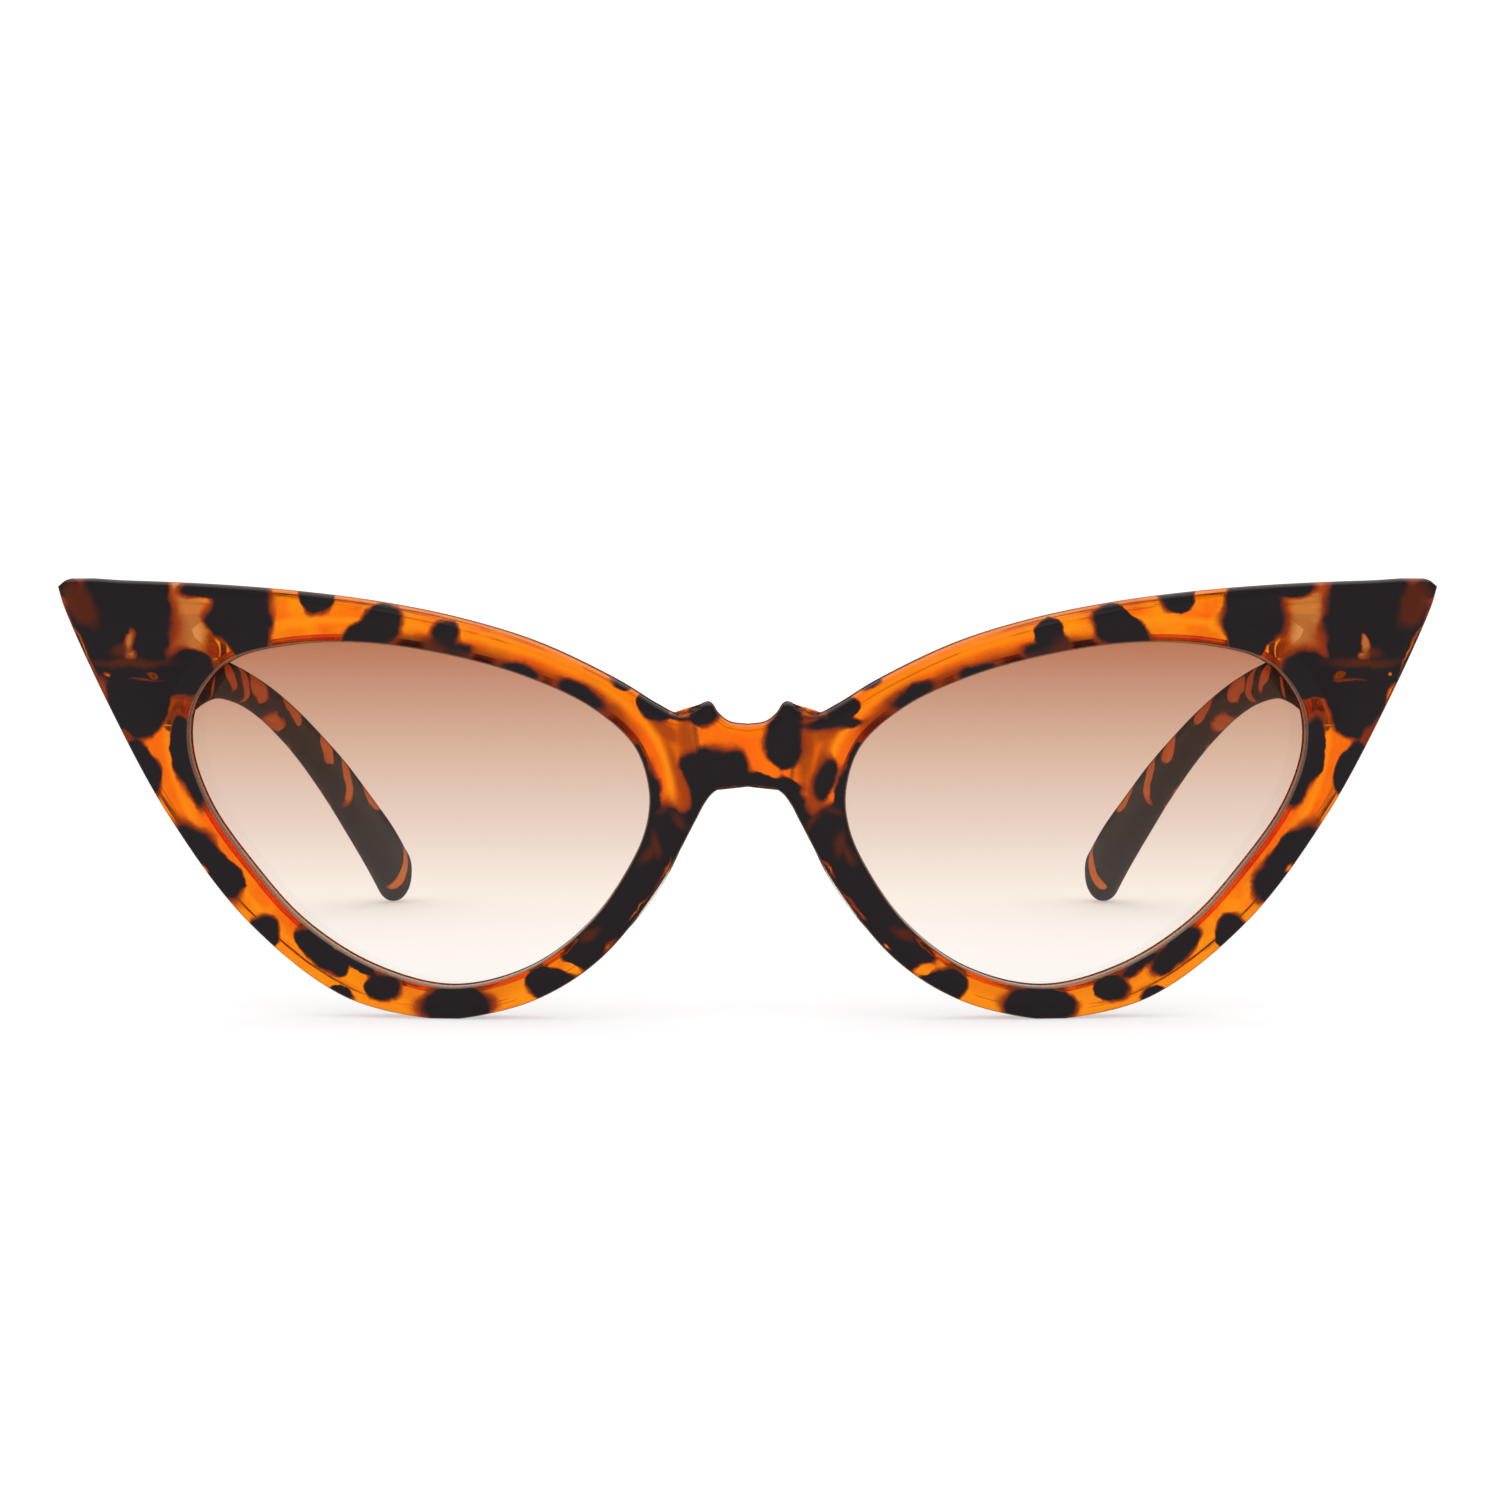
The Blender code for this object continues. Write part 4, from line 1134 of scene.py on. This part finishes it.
def wander(nodes, place):
    """A place moved a little by noise, so that outlines drawn from it are uneven."""
    for scale, reach in WANDERS:
        noise = nodes.vector("SUBTRACT", nodes.noise(place, scale, 1.0, 1), (0.5, 0.5, 0.5))
        place = nodes.vector("ADD", place, nodes.scaled(noise, reach * 2.0))
    return place


def tortoise(nodes, place, distance, amber, black, clearness, blur=0.0):
    """Colour and clearness of amber with dark spots, from the distance to their edges."""
    distance = nodes.math("SUBTRACT", distance, SPOT_GROWTH)
    soft = nodes.clouds(place, *SOFT_NOISE, SOFT_EDGE)
    share = nodes.math("DIVIDE", distance, nodes.math("ADD", soft, blur))
    dark = nodes.between(share, 1.0, -1.0)
    colour = nodes.blend(nodes.between(dark, 0.02, 0.5), amber, RED_BROWN)
    colour = nodes.blend(nodes.between(dark, 0.4, 0.9), colour, black)
    return colour, nodes.between(dark, 0.75, 0.05, 0.0, clearness)


def polish(nodes, place):
    """Shader inputs of polished plastic, with slow ripples from its moulding."""
    rough = nodes.clouds(place, *POLISH_NOISE, (0.06, 0.12))
    ripple = nodes.noise(place, RIPPLE_SCALE, 1.0)
    bump = nodes.add("Bump", {"Height": ripple, "Strength": 0.1, "Distance": 0.0006})
    return {"Roughness": rough, "IOR": 1.5, "Normal": bump}


def cloudy_amber(nodes, place):
    """Amber that runs from clear yellow-orange to deep orange in soft clouds."""
    cloud = nodes.clouds(place, *AMBER_NOISE)
    return nodes.blend(cloud, AMBER, AMBER_DEEP)


def rim_amber(nodes, place, shade):
    """Amber of the front, paler towards the bottom, with painted shade by the lens, painted
    highlights on the ridge and the bevel, and a painted dark reflection along the bevel's line.
    """
    to_lens = nodes.stored("to_lens")
    to_edge = nodes.stored("to_edge")
    x, _, z = nodes.split(place)
    outward = nodes.math("ABSOLUTE", x)
    amber = cloudy_amber(nodes, place)
    # paler amber towards the bottom
    amber = nodes.blend(nodes.between(z, *LOW_HEIGHTS, 0.0, 0.55), amber, AMBER_PALE_AND_HIGHLIGHT)
    deep = []
    for sideways, heights in (OUTER_DEEP, INNER_DEEP):
        deep.append(nodes.times(nodes.between(outward, *sideways), nodes.between(z, *heights)))
    amber = nodes.blend(nodes.times(nodes.math("MAXIMUM", *deep), 0.7), amber, AMBER_DEEP)
    # painted shade: darker amber along the lens side of the brow
    uneven = nodes.clouds(place, *LENS_SHADE_NOISE, (0.5, 1.0))
    brow_shade = nodes.between(z, *BROW_SHADE_HEIGHTS, 0.15, 1.0)
    brow_shade = nodes.times(brow_shade, nodes.between(outward, *BROW_SHADE_END, 0.2, 1.0))
    near = nodes.times(nodes.between(to_lens, *LENS_SHADE_REACH), uneven, brow_shade, 0.9)
    amber = nodes.blend(near, amber, AMBER_LENS_SHADE)
    # painted shade: brown by the crease and along the lens side of the brow
    amber = nodes.blend(shade, amber, SHADE_BROWN)
    # painted highlight: lighter amber along the ridge round the lens
    off_ridge = nodes.math("ABSOLUTE", nodes.math("SUBTRACT", to_lens, RIDGE_FROM_LENS))
    amber = nodes.blend(nodes.between(off_ridge, *RIDGE_HIGHLIGHT_REACH, 0.0, 0.85), amber, AMBER_PALE_AND_HIGHLIGHT)
    # painted highlight: lighter amber on the bevel along the outline
    amber = nodes.blend(nodes.between(to_edge, *BEVEL_HIGHLIGHT_REACH, 0.0, 0.5), amber, AMBER_PALE_AND_HIGHLIGHT)
    # painted reflection: a broken dark line along the bevel's inner edge
    off_line = nodes.math("ABSOLUTE", nodes.math("SUBTRACT", to_edge, BEVEL_WIDTH))
    broken = nodes.clouds(place, *BEVEL_REFLECTION_NOISE)
    line = nodes.times(nodes.between(off_line, *BEVEL_REFLECTION_LINE), broken, 0.75)
    return nodes.blend(line, amber, RED_BROWN)


def depth_behind_face(nodes, place):
    """Depth of a place behind the curve that the front's face follows."""
    x, y, _ = nodes.split(place)
    curve = nodes.math("DIVIDE", nodes.times(x, x), 2.0 * WRAP_RADIUS)
    return nodes.math("SUBTRACT", nodes.math("SUBTRACT", y, FRONT_Y), curve)


def outside_spots(nodes, moved, mirrored, depth):
    """Distance outside the dark spots of the front, which shrink towards its back."""
    spots = nodes.blots(mirrored, SPOTS)
    bridge = nodes.blots(nodes.flat(moved, False), BRIDGE_SPOTS)
    windows = nodes.blots(mirrored, WINDOWS)
    distance = nodes.math("SMOOTH_MIN", spots, bridge, BLEND)
    distance = nodes.math("MAXIMUM", distance, nodes.times(windows, -1.0))
    shrink = nodes.between(depth, *SHRINK_DEPTHS, 0.0, BACK_SHRINK)
    return nodes.math("ADD", distance, shrink)


def painted_edge_lines(nodes, depth):
    """Share and colour of painted light along the rim's edges: shade lines along the outline and
    around the lens, a reflection on the lens's lip and a shadow on the groove's wall.
    """
    to_edge = nodes.stored("to_edge")
    to_lens = nodes.stored("to_lens")
    # painted shade: dark lines along the outline and round the lens
    near, shallow = OUTLINE_SHADE
    outline = nodes.times(nodes.between(to_edge, *near, 0.0, 0.7), nodes.between(depth, *shallow))
    line = nodes.between(to_lens, *LENS_SHADE_LINE, 0.0, 0.7)
    # painted reflection: grey on the lens's lip
    lip_reflection = nodes.between(to_lens, *LENS_LIP_REFLECTION, 0.0, 0.6)
    # painted shadow: black on the groove's wall
    wall_shadow = nodes.between(to_lens, *LENS_WALL_SHADOW)
    for depths in LENS_WALL_SHADOW_DEPTHS:
        wall_shadow = nodes.times(wall_shadow, nodes.between(depth, *depths))
    return ((outline, RIM_SHADE_BROWN), (line, RIM_SHADE_BROWN), (lip_reflection, LIP_REFLECTION_GREY), (wall_shadow, SPOT_AND_SHADE_BLACK))


def tortoise_front():
    """Amber plastic of the front, with its dark spots, and painted shade, highlights and
    reflections along its edges, ridge, bevel and crease.
    """
    nodes = Finish("tortoise_front")
    place = nodes.millimetres()
    moved = wander(nodes, place)
    mirrored = nodes.flat(moved, True)
    depth = depth_behind_face(nodes, place)
    distance = outside_spots(nodes, moved, mirrored, depth)
    milky = nodes.between(nodes.blots(mirrored, MILKY), 0.4, -0.3, 0.0, 0.95)
    milky = nodes.times(milky, nodes.between(depth, *MILKY_DEPTHS))
    cells = {"Vector": nodes.flat(place, True), "Scale": FACET_SCALE}
    facets = ((0.25, GOLD_DARK), (0.3, GOLD), (0.62, GOLD), (0.68, GOLD_LIGHT))
    gold = nodes.ramp(nodes.add("TexVoronoi", cells, 1), facets)
    # mask of the painted shade by the crease and along the brow's lens side
    shade = nodes.between(nodes.blots(mirrored, SHADES), 0.9, -0.1, 0.0, 0.75)
    amber = nodes.blend(milky, rim_amber(nodes, place, shade), gold)
    blur = nodes.times(shade, SHADE_BLUR)
    colour, clear = tortoise(nodes, place, distance, amber, SPOT_AND_SHADE_BLACK, 0.95, blur)
    clear = nodes.times(clear, nodes.math("SUBTRACT", 1.0, nodes.times(milky, 0.85)))
    # red-brown patches, and painted shade along the brow's lens side
    haze_and_shade = nodes.between(nodes.blots(mirrored, HAZES_AND_SHADE), 0.35, -0.35, 0.0, 0.8)
    colour = nodes.blend(haze_and_shade, colour, HAZE_AND_SHADE_BROWN)
    # painted shade: dark line along the bridge's crease
    crease = nodes.between(nodes.stored("to_crease"), *CREASE_SHADE_LINE, 0.0, 0.85)
    colour = nodes.blend(crease, colour, SPOT_AND_SHADE_BLACK)
    # painted shade, reflection and shadow along the rim's edges
    for share, paint in painted_edge_lines(nodes, depth):
        colour = nodes.blend(share, colour, paint)
        clear = nodes.times(clear, nodes.math("SUBTRACT", 1.0, share))
    inputs = {"Base Color": colour, "Transmission Weight": clear, "Specular IOR Level": 0.35}
    return nodes.shaded({**inputs, **polish(nodes, place)})


def tortoise_temple():
    """Dark plastic of the temples, with amber blobs."""
    nodes = Finish("tortoise_temple")
    place = nodes.millimetres()
    x, y, z = nodes.split(nodes.vector("SUBTRACT", wander(nodes, place), (0.0, FRONT_Y, 0.0)))
    moved = nodes.add("CombineXYZ", {0: nodes.math("ABSOLUTE", x), 1: y, 2: z})
    solid = []
    for outward, depth, height, wide, long, tall, slope in TEMPLE_WINDOWS:
        angles = (math.radians(slope), 0.0, 0.0)
        solid.append(((outward, depth, height), angles, (wide, long, tall)))
    distance = nodes.times(nodes.blobs(moved, solid), -1.0)
    amber = nodes.blend(0.5, cloudy_amber(nodes, place), AMBER_TEMPLE)
    colour, clear = tortoise(nodes, place, distance, amber, TEMPLE_BLACK, 0.3)
    inputs = {"Base Color": colour, "Transmission Weight": clear, "Specular IOR Level": 0.3}
    return nodes.shaded({**inputs, **polish(nodes, place)})


def lens_tint():
    """Clear plastic with a brown tint that fades towards the bottom."""
    nodes = Finish("lens_tint")
    height = nodes.split(nodes.millimetres())[2]
    share = nodes.between(height, *LENS_HEIGHTS, kind="LINEAR")
    return nodes.shaded({
        "Base Color": nodes.ramp(share, LENS_TINTS),
        "Specular IOR Level": 0.15,
        "Roughness": 0.0,
        "IOR": 1.5,
        "Transmission Weight": 1.0,
    })


def clear_plastic():
    """Clear plastic of the nose pads."""
    nodes = Finish("clear_plastic")
    rough = nodes.clouds(nodes.millimetres(), *PAD_NOISE, (0.05, 0.12))
    return nodes.shaded({"Base Color": PAD_CLEAR, "Roughness": rough, "Transmission Weight": 1.0})


def hinge_steel():
    """Satin plated steel with fine brushing."""
    nodes = Finish("hinge_steel")
    inputs = {"Vector": nodes.millimetres(), "Scale": BRUSH_STRETCH}
    brush = nodes.noise(nodes.add("Mapping", inputs), BRUSH_SCALE, 3.0)
    return nodes.shaded({
        "Base Color": nodes.ramp(brush, ((0.3, STEEL_DARK), (0.7, STEEL_LIGHT))),
        "Roughness": nodes.between(brush, 0.3, 0.7, 0.20, 0.36),
        "Metallic": 1.0,
        "Normal": nodes.add("Bump", {"Height": brush, "Strength": 0.15, "Distance": 0.0001}),
    })


def paper_white():
    """Plain pale floor, which is dark and dim where gloss mirrors it."""
    nodes = Finish("paper_white")
    rays = nodes.rays()
    gloss = nodes.math("SUBTRACT", rays["Is Glossy Ray"], rays["Is Transmission Ray"])
    gloss = nodes.between(gloss, 0.0, 1.0)
    return nodes.shaded({
        "Base Color": nodes.blend(gloss, PAPER, BLACK),
        "Roughness": 0.9,
        "Specular IOR Level": 0.0,
        "Emission Color": WHITE,
        "Emission Strength": nodes.between(gloss, 0.0, 1.0, PAPER_GLOW, PAPER_GLOSS),
    })


# ---- stage

def studio_light(nodes):
    """Strength of the world: a white room, which gloss sees as a panel and a light above."""
    x, y, z = nodes.split(nodes.add("TexCoord", {}, 0))
    wide = nodes.between(nodes.math("ABSOLUTE", x), *PANEL_WIDE)
    tall = nodes.between(nodes.math("ABSOLUTE", z), *PANEL_TALL)
    panel = nodes.times(wide, tall, nodes.between(y, *PANEL_BEHIND))
    gloss = nodes.math("MULTIPLY_ADD", panel, PANEL, PANEL_OFF)
    above = nodes.between(z, *OVERHEAD_FROM, 0.0, OVERHEAD)
    gloss = nodes.math("ADD", gloss, above)
    rays = nodes.rays()
    seen = nodes.math("MAXIMUM", rays["Is Camera Ray"], rays["Is Transmission Ray"])
    room = nodes.between(seen, 0.0, 1.0, ROOM, BACKDROP)
    mirrored = nodes.math("SUBTRACT", rays["Is Glossy Ray"], seen, use_clamp=True)
    return nodes.math("MULTIPLY_ADD", nodes.math("SUBTRACT", gloss, room), mirrored, room)


def add_floor():
    """Wide pale floor under the object."""
    mesh = bpy.data.meshes.new("floor")
    half = FLOOR_HALF
    corners = [(-half, -half, 0), (half, -half, 0), (half, half, 0), (-half, half, 0)]
    mesh.from_pydata(corners, [], [(0, 1, 2, 3)])
    mesh.materials.append(paper_white())
    floor = add_object("floor", mesh)


def add_world():
    """The room around the object."""
    world = bpy.data.worlds.new("studio")
    world.use_nodes = True
    nodes = Nodes(world.node_tree)
    background = nodes.tree.nodes["Background"]
    nodes.put(background, "Color", WHITE)
    nodes.put(background, "Strength", studio_light(nodes))
    bpy.context.scene.world = world


def add_softbox():
    """A wide light above the object."""
    light = bpy.data.lights.new("softbox", "AREA")
    light.energy = SOFTBOX_POWER
    light.shape = "RECTANGLE"
    light.size, light.size_y = SOFTBOX_SIZE
    add_object("softbox", light).location = SOFTBOX_PLACE


def add_camera():
    """A camera straight in front, looking slightly down."""
    camera = bpy.data.cameras.new("camera")
    camera.lens = CAMERA_LENS
    camera.clip_start = CAMERA_NEAR
    eye = add_object("camera", camera)
    eye.location = [c * MM for c in CAMERA_PLACE]
    eye.rotation_euler = (math.radians(90.0 - CAMERA_PITCH), 0.0, 0.0)
    bpy.context.scene.camera = eye
    bpy.context.scene.view_settings.view_transform = "Standard"


# ---- assembly

def install(piece, body, node, slot, material):
    """Put a piece in the model: its body, the CAD node it stands for, and its finish."""
    piece.data.materials.clear()
    piece.data.materials.append(material)
    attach(piece, body)
    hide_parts(node)


def build():
    """Build every visible piece."""
    dark = tortoise_temple()
    tint = lens_tint()
    clear = clear_plastic()
    steel = hinge_steel()
    install(moulded_front(), "front", "front_frame", "tortoise_plastic", tortoise_front())
    for word, side in (("left", 1), ("right", -1)):
        body = word + "_temple"
        pieces = (
            (lens, "tinted_lens_", "front", "lens_", "tinted_lens", tint),
            (nose_pad, "clear_pad_", "front", "nose_pad_", "clear_plastic", clear),
            (front_leaf, "fixed_leaf_", "front", "hinge_front_leaf_", "hinge_steel", steel),
            (hinge_screw, "slotted_screw_", "front", "hinge_screw_", "hinge_steel", steel),
            (temple, "tortoise_temple_", body, "temple_", "tortoise_plastic", dark),
            (temple_leaf, "moving_leaf_", body, "hinge_temple_leaf_", "hinge_steel", steel),
        )
        for make, name, rides, node, slot, finish in pieces:
            install(make(name + word, side), rides, node + word, slot, finish)
        rivets = (
            (front_rivet, FRONT_RIVETS, "front", "front_rivet"),
            (temple_rivet, TEMPLE_RIVETS, body, "temple_rivet"),
        )
        for make, places, rides, kind in rivets:
            for number, away in enumerate(places, 1):
                node = "%s_%s_%d" % (kind, word, number)
                install(make("domed_" + node, side, away), rides, node, "hinge_steel", steel)


add_floor()
add_world()
add_softbox()
add_camera()
build()
